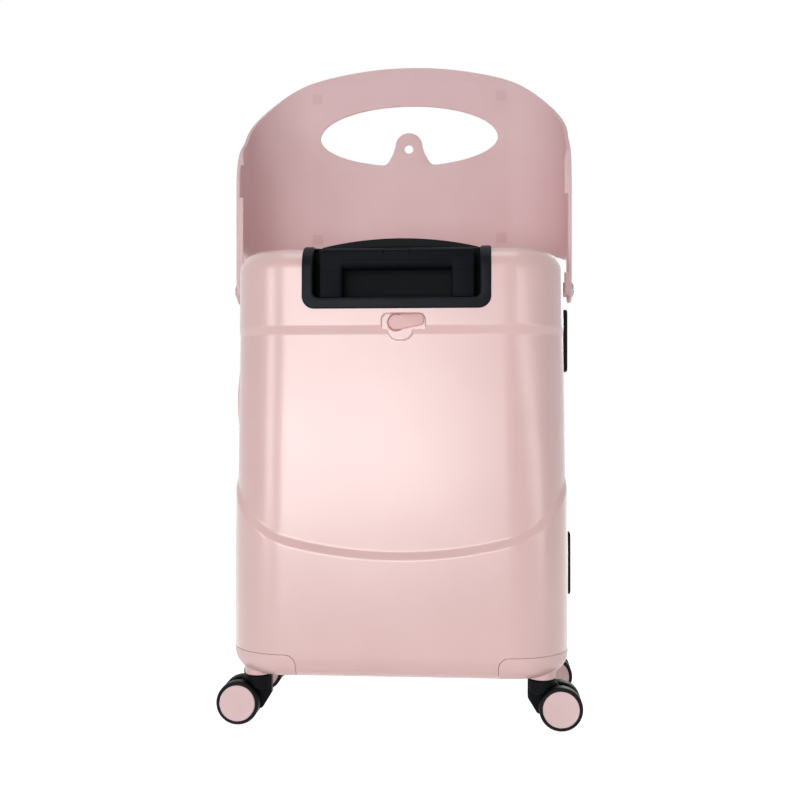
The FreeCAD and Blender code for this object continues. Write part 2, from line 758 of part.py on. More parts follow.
def build_cup():
    half, low, depth, cup_wall, proud, lap, corner = cells(
        "cup_half_width", "cup_low", "cup_depth", "cup_wall", "bezel_proud", "bezel_lap", "bezel_corner")
    upper, bottom, top, case_corner, edge = cells(
        "upper_half_width", "case_bottom", "case_top", "corner_radius", "edge_radius")

    def swollen(amount):
        return rounded_block(upper + amount, rear_y - amount, 0, bottom - amount, top + amount,
                             case_corner + amount, edge + amount)

    def front_opening(half_width, z_low, y_back, radius):
        block = span_box((-half_width, rear_y - depth, z_low), (half_width, y_back, top * 2))
        lower = [line for line in block.Edges if along(line, Y_AXIS) and flat(line, "z", z_low)]
        return block.makeFillet(radius, lower)

    back = rear_y + depth
    plug = swollen(proud).common(span_box((-half, rear_y - depth, low), (half, back, top * 2)))
    flange = swollen(proud).cut(swollen(0)).common(front_opening(half + lap, low - lap, back + lap, corner))
    inner_back = back - size("sizes.cup_back_wall")
    cavity = front_opening(half - cup_wall, low + cup_wall, inner_back, corner - cup_wall / 2)
    cup = plug.fuse(flange).cut(cavity)
    spread = size("sizes.tube_spread")
    line = size("sizes.tube_line - sizes.rear_depth")
    wide = size("sizes.tube_width - sizes.tube_wall * 2") / 2
    deep = size("sizes.tube_depth - sizes.tube_wall * 2") / 2
    holes = [span_box((sign * spread - wide, line - deep, low - cup_wall),
                      (sign * spread + wide, line + deep, low + cup_wall * 2)) for sign in (-1, 1)]
    return cup.cut(holes).removeSplitter()


keep_shape("trolley_cup", build_cup())


# Telescopic tubes: each stage slides in the one before with the same play

tube_y = "(sizes.tube_line - sizes.rear_depth)"

def stage_size(alias, stage):
    return f"(sizes.{alias} - {2 * stage} * (sizes.tube_wall + sizes.tube_play))"


def tube_pair(label, stage, low, high):
    body = new_body(label)
    outlines = []
    for sign in ("-", ""):
        for shrink in ("0", "sizes.tube_wall"):
            half_width = f"({stage_size('tube_width', stage)} / 2 - {shrink})"
            half_depth = f"({stage_size('tube_depth', stage)} / 2 - {shrink})"
            outlines.append(rectangle(
                f"{sign}sizes.tube_spread - {half_width}", f"{tube_y} - {half_depth}",
                f"{sign}sizes.tube_spread + {half_width}", f"{tube_y} + {half_depth}"))
    tube = pad(body, sketch_on(body, "XY_Plane", outlines, low), f"{high} - ({low})")
    outer_round = f"sizes.tube_round - {stage} * sizes.tube_round_step"
    half_widths = size(stage_size("tube_width", stage)) / 2
    spread = size("sizes.tube_spread")
    round_edges(body, tube, outer_round, lambda edge: along(edge, Z_AXIS)
                and abs(abs(abs(edge.Vertexes[0].Point.x) - spread) - half_widths) < 1e-6)


tube_pair("trolley_outer_tubes", 0, "sizes.tube_low", "sizes.cup_low")
tube_pair("trolley_mid_tubes", 1, "sizes.tube_low + sizes.stage_stagger", "sizes.cup_low + sizes.cup_wall")
tube_pair("trolley_inner_tubes", 2, "sizes.tube_low + sizes.stage_stagger * 2", "sizes.grip_leg_low")


def build_sockets():
    """Blocks that carry the outer tubes, moulded to the shell's lower rear edge."""
    spread, width, socket_wall, top = cells("tube_spread", "tube_width", "socket_wall", "tube_low")
    half = width / 2 + socket_wall
    back = size(f"{tube_y} + sizes.tube_depth / 2 + sizes.socket_wall")
    blocks = [rear_inner.common(span_box((sign * spread - half, rear_y, 0),
                                         (sign * spread + half, back, top)))
              for sign in (-1, 1)]
    return Part.makeCompound([solid for block in blocks for solid in block.Solids])


keep_shape("tube_sockets", build_sockets())


# Grip bar on two legs, with a push button in its top

grip = new_body("trolley_grip")
leg_inner = "(sizes.tube_spread - sizes.grip_leg_width / 2)"
leg_outer = "(sizes.tube_spread + sizes.grip_leg_width / 2)"
bar = pad(grip, sketch_on(grip, "XZ_Plane", [[
    (f"-{leg_outer}", "sizes.grip_leg_low"), (f"-{leg_inner}", "sizes.grip_leg_low"),
    (f"-{leg_inner}", "sizes.grip_low"), (leg_inner, "sizes.grip_low"),
    (leg_inner, "sizes.grip_leg_low"), (leg_outer, "sizes.grip_leg_low"),
    (leg_outer, "sizes.grip_top"), (f"-{leg_outer}", "sizes.grip_top")]], f"-{tube_y}"),
    "sizes.grip_depth", midplane=True)
grip_top = size("sizes.grip_top")
bar = round_edges(grip, bar, "sizes.grip_round",
                  lambda edge: (along(edge, X_AXIS) or along(edge, Y_AXIS)) and flat(edge, "z", grip_top))
pocket(grip, sketch_on(grip, "XY_Plane", [rectangle(
    "-sizes.button_half - sizes.button_play", f"{tube_y} - sizes.button_depth / 2 - sizes.button_play",
    "sizes.button_half + sizes.button_play", f"{tube_y} + sizes.button_depth / 2 + sizes.button_play")],
    "sizes.grip_top + sizes.button_proud"),
    "sizes.button_proud * 2 + sizes.button_height + sizes.button_travel")

button = new_body("release_button")
key = pad(button, sketch_on(button, "XY_Plane", [rectangle(
    "-sizes.button_half", f"{tube_y} - sizes.button_depth / 2",
    "sizes.button_half", f"{tube_y} + sizes.button_depth / 2")],
    "sizes.grip_top + sizes.button_proud - sizes.button_height"), "sizes.button_height")
round_edges(button, key, "sizes.button_round",
            lambda edge: flat(edge, "z", size("sizes.grip_top + sizes.button_proud")))


# Carry handles: a curved strap between two low mounts

def bow(label, direction, half_span, rise, width, seat):
    """Strap bent to an arc that rises over half_span, cut level with its mounts; built on its own floor."""
    outer = doc.addObject("Part::Cylinder", label + "_outer")
    inner = doc.addObject("Part::Cylinder", label + "_inner")
    radius = f"(({half_span})^2 + ({rise})^2) / (2 * ({rise}))"
    outer.setExpression("Radius", radius)
    inner.setExpression("Radius", f"{radius} - sizes.bow_thick")
    for disc in (outer, inner):
        disc.setExpression("Height", width)
        disc.Placement = FreeCAD.Placement(Vector(), FreeCAD.Rotation(X_AXIS, 90))
        disc.setExpression("Placement.Base.y", f"{width} / 2")
        disc.setExpression("Placement.Base.z", f"{rise} - {radius}")
    strap = doc.addObject("Part::Cut", label + "_strap")
    strap.Base = outer
    strap.Tool = inner
    keeper = doc.addObject("Part::Box", label + "_keeper")
    keeper.setExpression("Length", f"{half_span} * 2")
    keeper.setExpression("Width", f"{width} * 2")
    keeper.setExpression("Height", f"{rise} * 2")
    keeper.setExpression("Placement.Base.x", f"-({half_span})")
    keeper.setExpression("Placement.Base.y", f"-({width})")
    keeper.setExpression("Placement.Base.z", seat)
    handle = doc.addObject("Part::Common", label)
    handle.Base = strap
    handle.Tool = keeper
    handle.Placement = FreeCAD.Placement(Vector(), direction)
    return keep(handle, label)


upright = FreeCAD.Rotation()
to_the_left = FreeCAD.Rotation(Vector(0, 0, 1), Vector(0, 1, 0), Vector(-1, 0, 0), "ZYX")
bow_y = "(sizes.bow_line - sizes.rear_depth)"
top_bow = bow("top_handle", upright, "sizes.bow_half_span", "sizes.bow_rise", "sizes.bow_width",
              "sizes.bow_mount_height")
top_bow.setExpression("Placement.Base.y", bow_y)
top_bow.setExpression("Placement.Base.z", "sizes.case_top")
side_bow = bow("side_handle", to_the_left, "sizes.side_bow_half_span", "sizes.side_reach",
               "sizes.side_bow_width", "sizes.bow_mount_height")
side_bow.setExpression("Placement.Base.x", "-sizes.upper_half_width")
side_bow.setExpression("Placement.Base.y", "sizes.side_bow_line")
side_bow.setExpression("Placement.Base.z", "sizes.side_bow_level")


def bow_mounts(label, role, half_span, along_line, cross_line, width, seat, height, reverse):
    """Two low pads that the ends of a carry handle stand on."""
    body = new_body(label)
    outlines = []
    for sign in ("-", "+"):
        outer = f"({along_line} {sign} ({half_span}))"
        inner = f"({along_line} {sign} ({half_span} - sizes.bow_mount_length))"
        low, high = (outer, inner) if sign == "-" else (inner, outer)
        half = f"({width} / 2 + sizes.bow_thick / 2)"
        if role == "XY_Plane":
            outlines.append(rectangle(low, f"{cross_line} - {half}", high, f"{cross_line} + {half}"))
        else:
            outlines.append(rectangle(f"{cross_line} - {half}", low, f"{cross_line} + {half}", high))
    block = pad(body, sketch_on(body, role, outlines, seat), height, reverse=reverse)
    upright_axis = Z_AXIS if role == "XY_Plane" else X_AXIS
    round_edges(body, block, "sizes.bow_thick", lambda edge: along(edge, upright_axis))


bow_mounts("top_handle_mounts", "XY_Plane", "sizes.bow_half_span", "0", bow_y, "sizes.bow_width",
           "sizes.case_top", "sizes.bow_mount_height", False)
bow_mounts("side_handle_mounts", "YZ_Plane", "sizes.side_bow_half_span", "sizes.side_bow_level",
           "sizes.side_bow_line", "sizes.side_bow_width", "-sizes.upper_half_width",
           "sizes.bow_mount_height", True)


# Bumper feet on the right side

feet = new_body("side_feet")
for level, seat in (("sizes.foot_upper_level", "sizes.upper_half_width"),
                    ("sizes.foot_lower_level", "sizes.lower_half_width")):
    outline = rectangle("sizes.foot_line - sizes.foot_width / 2", f"{level} - sizes.foot_length / 2",
                        "sizes.foot_line + sizes.foot_width / 2", f"{level} + sizes.foot_length / 2")
    foot = pad(feet, sketch_on(feet, "YZ_Plane", [outline], seat), "sizes.foot_reach")
round_edges(feet, foot, "sizes.foot_round", lambda edge: along(edge, X_AXIS))


# Zip sliders parked on the left run of the zip

for label, level in (("zip_slider_upper", "sizes.slider_upper_level"),
                     ("zip_slider_lower", "sizes.slider_lower_level")):
    slider = new_body(label)
    saddle = rectangle("-sizes.slider_width / 2", "-sizes.slider_length / 2",
                       "sizes.slider_width / 2", "sizes.slider_length / 2")
    puller = rectangle("-sizes.puller_width / 2", "-sizes.puller_length - sizes.slider_length / 2",
                       "sizes.puller_width / 2", "sizes.slider_length / 4")
    base = pad(slider, sketch_on(slider, "YZ_Plane", [saddle]), "sizes.slider_thick", reverse=True)
    round_edges(slider, base, "sizes.slider_width / 4", lambda edge: along(edge, X_AXIS))
    pad(slider, sketch_on(slider, "YZ_Plane", [puller], "-sizes.slider_thick"), "sizes.puller_thick",
        reverse=True)
    place(slider, x="-sizes.upper_half_width + sizes.tape_inset - sizes.slider_play",
          y="sizes.rear_rim + sizes.zip_width / 2", z=level)


# Casters, built about the swivel line with the wheels trailing towards +X

axle_z = "sizes.wheel_radius"
fork_top = "(sizes.boss_bottom - sizes.swivel_play)"
wheel_gap = "(sizes.fork_width / 2 + sizes.wheel_side_play)"
wheel_out = f"({wheel_gap} + sizes.wheel_width)"


def build_fork(label):
    body = new_body(label)
    revolve(body, sketch_on(body, "XZ_Plane", [[
        ("0", f"{fork_top} - sizes.fork_head"), ("sizes.fork_radius", f"{fork_top} - sizes.fork_head"),
        ("sizes.fork_radius", fork_top), ("sizes.swivel_pin_radius", fork_top),
        ("sizes.swivel_pin_radius", "sizes.swivel_pin_top - sizes.swivel_play"),
        ("0", "sizes.swivel_pin_top - sizes.swivel_play")]]), "V_Axis")
    cheek = f"({fork_top} - sizes.fork_head / 2)"
    arm = pad(body, sketch_on(body, "XZ_Plane", [[
        ("-sizes.fork_radius", cheek), ("-sizes.fork_radius", f"{fork_top} - sizes.fork_skirt"),
        ("sizes.trail - sizes.fork_end_radius", f"{axle_z} - sizes.fork_end_radius"),
        ("sizes.trail + sizes.fork_end_radius", f"{axle_z} - sizes.fork_end_radius"),
        ("sizes.trail + sizes.fork_end_radius", f"{axle_z} + sizes.fork_end_radius"),
        ("sizes.fork_radius", cheek)]]), "sizes.fork_width", midplane=True)
    low = size(f"{axle_z} - sizes.fork_end_radius")
    arm = round_edges(body, arm, "sizes.fork_end_round",
                      lambda edge: along(edge, Y_AXIS) and flat(edge, "z", low))
    pocket(body, circle_on(body, "XZ_Plane", "sizes.trail", axle_z, "sizes.axle_radius"),
           "sizes.fork_width * 2", midplane=True)
    for sign in ("-", ""):
        envelope = circle_on(body, "XZ_Plane", "sizes.trail", axle_z,
                             "sizes.wheel_radius + sizes.wheel_clearance", f"{sign}sizes.fork_width / 2")
        pocket(body, envelope, "sizes.wheel_width * 2", reverse=not sign)
    return body


def build_axle(label):
    body = new_body(label)
    half = f"({wheel_out} - sizes.axle_cover)"
    rod = rectangle("0", f"-{half}", "sizes.axle_radius", half)
    revolve(body, sketch_on(body, "XY_Plane", [rod]), "V_Axis")
    return body


def build_tyres(label):
    body = new_body(label)
    near = rectangle("sizes.hub_radius", f"-{wheel_out}", "sizes.wheel_radius", f"-{wheel_gap}")
    far = rectangle("sizes.hub_radius", wheel_gap, "sizes.wheel_radius", wheel_out)
    ring = revolve(body, sketch_on(body, "XY_Plane", [near, far]), "V_Axis")
    tread = size("sizes.wheel_radius")
    round_edges(body, ring, "sizes.tyre_round",
                lambda edge: isinstance(edge.Curve, Part.Circle) and abs(edge.Curve.Radius - tread) < 1e-6)
    return body


def build_hubs(label):
    body = new_body(label)
    bore = "(sizes.axle_radius + sizes.shaft_play)"
    outlines = []
    for sign in ("-", ""):
        inner, outer = f"{sign}{wheel_gap}", f"{sign}{wheel_out}"
        toward = "+" if sign == "-" else "-"
        cover = f"{outer} {toward} (sizes.axle_cover - sizes.axle_end_play)"
        outlines.append([
            (bore, inner), ("sizes.hub_radius", inner), ("sizes.hub_radius", outer),
            ("sizes.hub_boss_radius * 2", f"{outer} {toward} sizes.hub_dish"),
            ("0", f"{outer} {toward} sizes.hub_dish"), ("0", cover), (bore, cover)])
    revolve(body, sketch_on(body, "XY_Plane", outlines), "V_Axis")
    return body


for side, side_name in (("-", "left"), ("", "right")):
    for end_name, line in caster_y.items():
        corner_name = f"{end_name}_{side_name}"
        turn = 180.0 if side else 0.0
        swivel_x = f"{side}sizes.caster_spread"
        wheel_x = f"{side}(sizes.caster_spread + sizes.trail)"
        place(build_fork(f"caster_fork_{corner_name}"), swivel_x, line, "0", turn)
        for maker, name in ((build_axle, "axle"), (build_tyres, "tyres"), (build_hubs, "hubs")):
            place(maker(f"caster_{name}_{corner_name}"), wheel_x, line, axle_z, turn)


# Checks and export

doc.recompute()
for item in doc.Objects:
    if "Invalid" in item.State or "Error" in item.State:
        raise RuntimeError(f"{item.Label} failed: {item.State}")
for part in sub_parts:
    if part.Shape.isNull() or not part.Shape.isValid():
        raise RuntimeError(f"{part.Label} has no valid shape")

os.makedirs("parts", exist_ok=True)
for part in sub_parts:
    part.Shape.exportStep(f"parts/{part.Label}.step")
    box = part.Shape.BoundBox
    print(part.Label, len(part.Shape.Solids), "solids", round(part.Shape.Volume), "mm3",
          [round(value, 1) for value in (box.XMin, box.XMax, box.YMin, box.YMax, box.ZMin, box.ZMax)])
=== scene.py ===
import bpy
import bmesh
import json
from math import acos, asin, ceil, cos, degrees, hypot, pi, radians, sin, sqrt, tan
from mathutils import Matrix, Vector

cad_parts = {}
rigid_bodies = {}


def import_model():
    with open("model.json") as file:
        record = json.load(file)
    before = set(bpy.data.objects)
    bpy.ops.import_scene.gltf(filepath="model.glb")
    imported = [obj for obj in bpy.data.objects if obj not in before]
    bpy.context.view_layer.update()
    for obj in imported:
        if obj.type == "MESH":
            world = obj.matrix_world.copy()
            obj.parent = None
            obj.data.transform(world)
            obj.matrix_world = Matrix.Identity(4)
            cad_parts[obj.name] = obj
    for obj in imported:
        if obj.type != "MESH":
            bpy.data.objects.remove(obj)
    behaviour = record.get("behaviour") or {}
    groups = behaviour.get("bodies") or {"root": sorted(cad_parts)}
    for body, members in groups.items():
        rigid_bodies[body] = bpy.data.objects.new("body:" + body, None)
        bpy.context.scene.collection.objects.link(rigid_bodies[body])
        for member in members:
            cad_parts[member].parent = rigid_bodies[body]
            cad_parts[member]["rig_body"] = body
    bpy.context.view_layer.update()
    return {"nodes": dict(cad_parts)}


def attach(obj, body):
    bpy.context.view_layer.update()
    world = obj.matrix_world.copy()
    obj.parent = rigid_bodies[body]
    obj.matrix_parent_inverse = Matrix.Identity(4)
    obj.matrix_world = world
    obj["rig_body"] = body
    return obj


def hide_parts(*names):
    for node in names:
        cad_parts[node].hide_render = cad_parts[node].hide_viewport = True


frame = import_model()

print("frame loaded:", len(frame["nodes"]), "nodes")

# Pieces are modelled in millimetres in the frame of the case and scaled to metres when they are finished.
mm = 0.001
perMetre = 1000


# angles, colours and nodes

def sind(angle):
    return sin(radians(angle))


def cosd(angle):
    return cos(radians(angle))


def linearColour(hexText):
    channels = [int(hexText[i:i + 2], 16) / 255 for i in (1, 3, 5)]
    return [c / 12.92 if c <= 0.04045 else ((c + 0.055) / 1.055) ** 2.4 for c in channels] + [1.0]


def addNode(tree, kind, settings=None, links=None):
    node = tree.nodes.new(kind)
    for name, value in (settings or {}).items():
        if name in node.inputs:
            node.inputs[name].default_value = value
        else:
            setattr(node, name, value)
    for name, source in (links or {}).items():
        tree.links.new(source, node.inputs[name])
    return node


def newMaterial(name):
    material = bpy.data.materials.new(name)
    material.use_nodes = True
    tree = material.node_tree
    tree.nodes.clear()
    return material, tree, addNode(tree, "ShaderNodeTexCoord").outputs["Object"]


def finishMaterial(material, tree, settings, links):
    shader = addNode(tree, "ShaderNodeBsdfPrincipled", settings, links)
    addNode(tree, "ShaderNodeOutputMaterial", None, {"Surface": shader.outputs["BSDF"]})
    return material


def noise(tree, place, scale, detail):
    return addNode(tree, "ShaderNodeTexNoise", {"Scale": scale, "Detail": detail}, {"Vector": place})


# A texture's value as two shades of a colour.
def shadeRamp(tree, texture, dark, light, ends=(0.0, 1.0)):
    ramp = addNode(tree, "ShaderNodeValToRGB", None, {"Fac": texture.outputs["Fac"]})
    for element, end, shade in zip(ramp.color_ramp.elements, ends, (dark, light)):
        element.position = end
        element.color = linearColour(shade)
    return ramp.outputs["Color"]


# A texture's value as a roughness that varies a little.
def glossRange(tree, texture, ends, rough, roughSpread):
    settings = {"From Min": ends[0], "From Max": ends[1],
                "To Min": rough - roughSpread, "To Max": rough + roughSpread}
    return addNode(tree, "ShaderNodeMapRange", settings, {"Value": texture.outputs["Fac"]}).outputs["Result"]


# A texture's value as a fine relief.
def relief(tree, texture, strength, distance):
    settings = {"Strength": strength, "Distance": distance}
    return addNode(tree, "ShaderNodeBump", settings, {"Height": texture.outputs["Fac"]}).outputs["Normal"]


# Moulded plastic: a soft cloud in the colour and a fine grain in the surface, both sized in millimetres.
def mouldedPlastic(name, dark, light, cloud, grain, rough, roughSpread, bump, specular=0.5,
                   coat=0.0, coatRough=0.1, coatIor=1.5):
    material, tree, place = newMaterial(name)
    middle = (0.3, 0.7)
    clouds = noise(tree, place, perMetre / cloud, 2.0)
    grains = noise(tree, place, perMetre / grain, 3.0)
    settings = {"IOR": 1.5, "Specular IOR Level": specular, "Coat Weight": coat, "Coat Roughness": coatRough,
                "Coat IOR": coatIor}
    return finishMaterial(material, tree, settings, {
        "Base Color": shadeRamp(tree, clouds, dark, light, middle),
        "Roughness": glossRange(tree, grains, middle, rough, roughSpread),
        "Normal": relief(tree, grains, bump, grain * mm * 0.2)})


# Pearl lacquer over moulded polycarbonate: pale pink, with a broad soft highlight from the mica in it.
pearlShell = mouldedPlastic(
    "pearl_polycarbonate", "#DFB7B4", "#E3BCB9", cloud=90, grain=1.6, rough=0.42, roughSpread=0.02, bump=0.02,
    coat=1.0, coatRough=0.24, coatIor=1.7)
# Satin ABS of the guard: the same pink without the mica, so it shades duller.
satinGuard = mouldedPlastic(
    "satin_abs_pink", "#E2BFC1", "#E6C4C6", cloud=70, grain=1.2, rough=0.46, roughSpread=0.04, bump=0.05)
# The guard's bumper squares, of a soft pink rubber a shade deeper.
bumperPink = mouldedPlastic(
    "soft_pink_rubber", "#DCB8BA", "#E0BDBF", cloud=30, grain=1.0, rough=0.62, roughSpread=0.04, bump=0.08)
# Pink ABS of brackets, bushes and side handle, smooth from a polished mould.
trimPink = mouldedPlastic(
    "polished_abs_pink", "#EDC8C6", "#F0CDCB", cloud=50, grain=1.0, rough=0.36, roughSpread=0.03, bump=0.04,
    coat=0.15, coatRough=0.2)
# The latch lever is a warmer pink than the shell round it.
latchPink = mouldedPlastic(
    "polished_acetal_pink", "#E0B3B0", "#E4B9B6", cloud=20, grain=0.8, rough=0.36, roughSpread=0.03,
    bump=0.04)
# Wheel discs: a flat satin pink that shows little gloss.
hubPink = mouldedPlastic(
    "satin_polypropylene_pink", "#ECCCCD", "#EFD1D2", cloud=24, grain=0.9, rough=0.5, roughSpread=0.04,
    bump=0.05)
# Black polypropylene of the cup's tray and the forks, matt from a grained mould. Its tone is painted shade:
# darker than the band's black to stand for the shade inside the cup's deep tray, and the forks and other
# parts in it take the same painted shade.
blackPlasticPaintedShade = mouldedPlastic(
    "grained_black_polypropylene_painted_shade", "#07090B", "#0B0D10", cloud=30, grain=0.9, rough=0.55, roughSpread=0.05,
    bump=0.12, specular=0.08)
# The cup's band is the same plastic with a bluish satin, so its rounded edge shows. Its tone is lighter than
# the tray's, whose darker tone is painted shade.
bandPlastic = mouldedPlastic(
    "satin_black_polypropylene", "#0D1015", "#13171D", cloud=30, grain=0.8, rough=0.36, roughSpread=0.04,
    bump=0.06, specular=0.09)
# Black nylon of the trolley grip: a dim satin.
gripPlastic = mouldedPlastic(
    "satin_black_nylon", "#090C11", "#0E1218", cloud=30, grain=0.8, rough=0.45, roughSpread=0.05, bump=0.08,
    specular=0.05)
# Soft rubber of top handle, feet and button: almost no shine.
blackRubber = mouldedPlastic(
    "soft_black_rubber", "#08090B", "#0D0F12", cloud=25, grain=1.1, rough=0.6, roughSpread=0.06, bump=0.2,
    specular=0.14)
# Tyres: a harder black with a faint sheen.
tyreRubber = mouldedPlastic(
    "black_polyurethane_tread", "#040405", "#08080A", cloud=15, grain=0.8, rough=0.5, roughSpread=0.08,
    bump=0.15, specular=0.14)
# Zip teeth: a nylon coil with a slight shine.
zipTooth = mouldedPlastic(
    "nylon_coil", "#C08E8B", "#CD9B97", cloud=12, grain=0.7, rough=0.4, roughSpread=0.05, bump=0.1)


# Drawn metal: fine lines along one axis, which stretch the highlight across it.
def drawnMetal(name, dark, light, lineMm, rough):
    material, tree, place = newMaterial(name)
    scale = [perMetre / size for size in lineMm]
    stretch = addNode(tree, "ShaderNodeMapping", {"Scale": scale}, {"Vector": place})
    lines = noise(tree, stretch.outputs["Vector"], 1.0, 4.0)
    return finishMaterial(material, tree, {"Metallic": 1.0}, {
        "Base Color": shadeRamp(tree, lines, dark, light),
        "Roughness": glossRange(tree, lines, (0.25, 0.75), rough, 0.08),
        "Normal": relief(tree, lines, 0.08, 0.0002)})


# The tubes are brushed lengthwise; screws and sliders only show a fine cloud.
tubeAluminium = drawnMetal("anodised_aluminium", "#A9ABAE", "#C6C8CA", (0.8, 0.8, 40.0), 0.34)
screwSteel = drawnMetal("plated_steel", "#828080", "#B2B0AE", (2.0, 2.0, 2.0), 0.24)
sliderMetal = drawnMetal("zinc_die_casting", "#A79F9C", "#C9C2BE", (1.5, 1.5, 1.5), 0.32)


# Woven nylon zip tape: a diagonal of threads, drawn coarse enough to show.
def wovenTape(name, dark, light, threadMm):
    material, tree, place = newMaterial(name)
    weave = addNode(tree, "ShaderNodeTexWave", {
        "wave_type": "BANDS", "bands_direction": "DIAGONAL", "Scale": perMetre / threadMm / 20,
        "Distortion": 1.0, "Detail": 2.0}, {"Vector": place})
    return finishMaterial(material, tree, {"Roughness": 0.8, "Sheen Weight": 0.3, "Sheen Roughness": 0.4}, {
        "Base Color": shadeRamp(tree, weave, dark, light), "Normal": relief(tree, weave, 0.4, 0.0003)})


zipFabric = wovenTape("woven_nylon_tape", "#B98682", "#CF9C97", 1.6)
print("materials ready")


# finishing a piece

def asObject(bm, name):
    mesh = bpy.data.meshes.new(name)
    bm.to_mesh(mesh)
    bm.free()
    holder = bpy.data.objects.new(name, mesh)
    bpy.context.scene.collection.objects.link(holder)
    return holder


def finishPiece(bm, name, material, body, replaced=(), sharpAngle=35, unit=mm):
    bmesh.ops.scale(bm, vec=(unit, unit, unit), verts=bm.verts)
    piece = asObject(bm, name)
    piece.data.materials.append(material)
    piece.data.shade_smooth()
    piece.data.set_sharp_from_angle(angle=radians(sharpAngle))
    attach(piece, body)
    if replaced:
        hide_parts(*replaced)


# A frame piece whose shape is right: a merged copy that shades smoothly stands for it.
def smoothCopy(node, material, sharpAngle=35):
    source = frame["nodes"][node]
    bm = bmesh.new()
    bm.from_mesh(source.data)
    bmesh.ops.remove_doubles(bm, verts=bm.verts, dist=1e-6)
    finishPiece(bm, node + "_finished", material, source["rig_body"], [node], sharpAngle, 1.0)


def joined(*parts):
    whole = bmesh.new()
    for part in parts:
        mesh = bpy.data.meshes.new("part")
        part.to_mesh(mesh)
        part.free()
        whole.from_mesh(mesh)
        bpy.data.meshes.remove(mesh)
    return whole


# What the modifiers make of the first object, as a fresh bmesh. All the objects are used up.
def modifierResult(holders):
    bpy.context.view_layer.update()
    result = holders[0].evaluated_get(bpy.context.evaluated_depsgraph_get())
    out = bmesh.new()
    out.from_mesh(result.to_mesh())
    result.to_mesh_clear()
    for holder in holders:
        mesh = holder.data
        bpy.data.objects.remove(holder)
        bpy.data.meshes.remove(mesh)
    return out


# Boolean cuts, or what two solids share, or their union. Cutters reach well past the surfaces they cut.
def carved(bm, cutters, operation="DIFFERENCE"):
    holders = [asObject(solid, "carve") for solid in [bm] + cutters]
    for cutter in holders[1:]:
        step = holders[0].modifiers.new("cut", "BOOLEAN")
        step.object = cutter
        step.operation = operation
        step.solver = "EXACT"
    out = modifierResult(holders)
    bmesh.ops.remove_doubles(out, verts=out.verts, dist=0.002)
    bmesh.ops.dissolve_degenerate(out, edges=out.edges, dist=0.002)
    return out


def thickened(bm, wall):
    holder = asObject(bm, "tray")
    skin = holder.modifiers.new("wall", "SOLIDIFY")
    skin.thickness = wall
    skin.offset = -1
    skin.use_even_offset = False
    return modifierResult([holder])


# outlines in a plane, and the slabs made of them

def arcPoints(cx, cy, radius, start, end, steps):
    turns = [radians(start + (end - start) * i / steps) for i in range(steps + 1)]
    return [(cx + radius * cos(t), cy + radius * sin(t)) for t in turns]


# A polygon whose corners, each given as x, y and radius, are rounded.
def rounded(corners, steps=8):
    points = []
    for number, (x, y, radius) in enumerate(corners):
        here = Vector((x, y))
        if not radius:
            points.append((x, y))
            continue
        back = (Vector(corners[number - 1][:2]) - here).normalized()
        ahead = (Vector(corners[(number + 1) % len(corners)][:2]) - here).normalized()
        half = back.angle(ahead) / 2
        centre = here + (back + ahead).normalized() * radius / sin(half)
        first = here + back * radius / tan(half) - centre
        last = here + ahead * radius / tan(half) - centre
        for step in range(steps + 1):
            points.append(tuple(centre + first.lerp(last, step / steps).normalized() * radius))
    return points


# A box with one radius for all its corners, or one for the low pair and one for the high pair.
def roundedBox(low, high, *radii):
    (x0, y0), (x1, y1) = low, high
    below, above = radii[0], radii[-1]
    return rounded([(x0, y0, below), (x1, y0, below), (x1, y1, above), (x0, y1, above)])


# A smooth line through a few chosen points.
def smoothLine(points, steps):
    padded = [points[0]] + list(points) + [points[-1]]
    line = []
    for a, b, c, d in zip(padded[:-3], padded[1:-2], padded[2:-1], padded[3:]):
        for step in range(steps):
            t = step / steps
            line.append(tuple(
                q + 0.5 * t * (r - p + t * (2 * p - 5 * q + 4 * r - s + t * (3 * (q - r) + s - p)))
                for p, q, r, s in zip(a, b, c, d)))
    return line + [points[-1]]


def slab(outlines, thickness, edge, edgeSteps=3):
    curve = bpy.data.curves.new("outline", "CURVE")
    curve.dimensions = "2D"
    curve.fill_mode = "BOTH"
    curve.extrude = thickness / 2 - edge
    curve.bevel_depth = edge
    curve.bevel_resolution = edgeSteps
    curve.offset = -edge
    for points in outlines:
        spline = curve.splines.new("POLY")
        spline.points.add(len(points) - 1)
        for point, (u, v) in zip(spline.points, points):
            point.co = (u, v, 0, 1)
        spline.use_cyclic_u = True
    holder = bpy.data.objects.new("outline", curve)
    bpy.context.scene.collection.objects.link(holder)
    mesh = bpy.data.meshes.new_from_object(holder)
    bm = bmesh.new()
    bm.from_mesh(mesh)
    bpy.data.objects.remove(holder)
    bpy.data.curves.remove(curve)
    bpy.data.meshes.remove(mesh)
    bmesh.ops.remove_doubles(bm, verts=bm.verts, dist=0.003)
    return facedOut(bm)


def transformed(bm, matrix):
    bmesh.ops.transform(bm, matrix=matrix, verts=bm.verts)
    return bm


# Turns every face outwards.
def facedOut(bm):
    bmesh.ops.recalc_face_normals(bm, faces=bm.faces)
    return bm


# Stands a slab drawn in the plane u, v up in the plane X, Z, its middle at a place along Y.
def standUp(bm, y=0.0):
    return transformed(bm, Matrix.Translation((0, y, 0)) @ Matrix.Rotation(pi / 2, 4, "X"))


# Stands a slab up in the plane Y, Z, its middle at a place along X.
def standSide(bm, x=0.0):
    return transformed(bm, Matrix(((0, 0, 1, x), (1, 0, 0, 0), (0, 1, 0, 0), (0, 0, 0, 1))))


def moved(bm, offset):
    bmesh.ops.translate(bm, vec=offset, verts=bm.verts)
    return bm


def turned(bm, angle, axis):
    bmesh.ops.rotate(bm, cent=(0, 0, 0), matrix=Matrix.Rotation(angle, 3, axis), verts=bm.verts)
    return bm


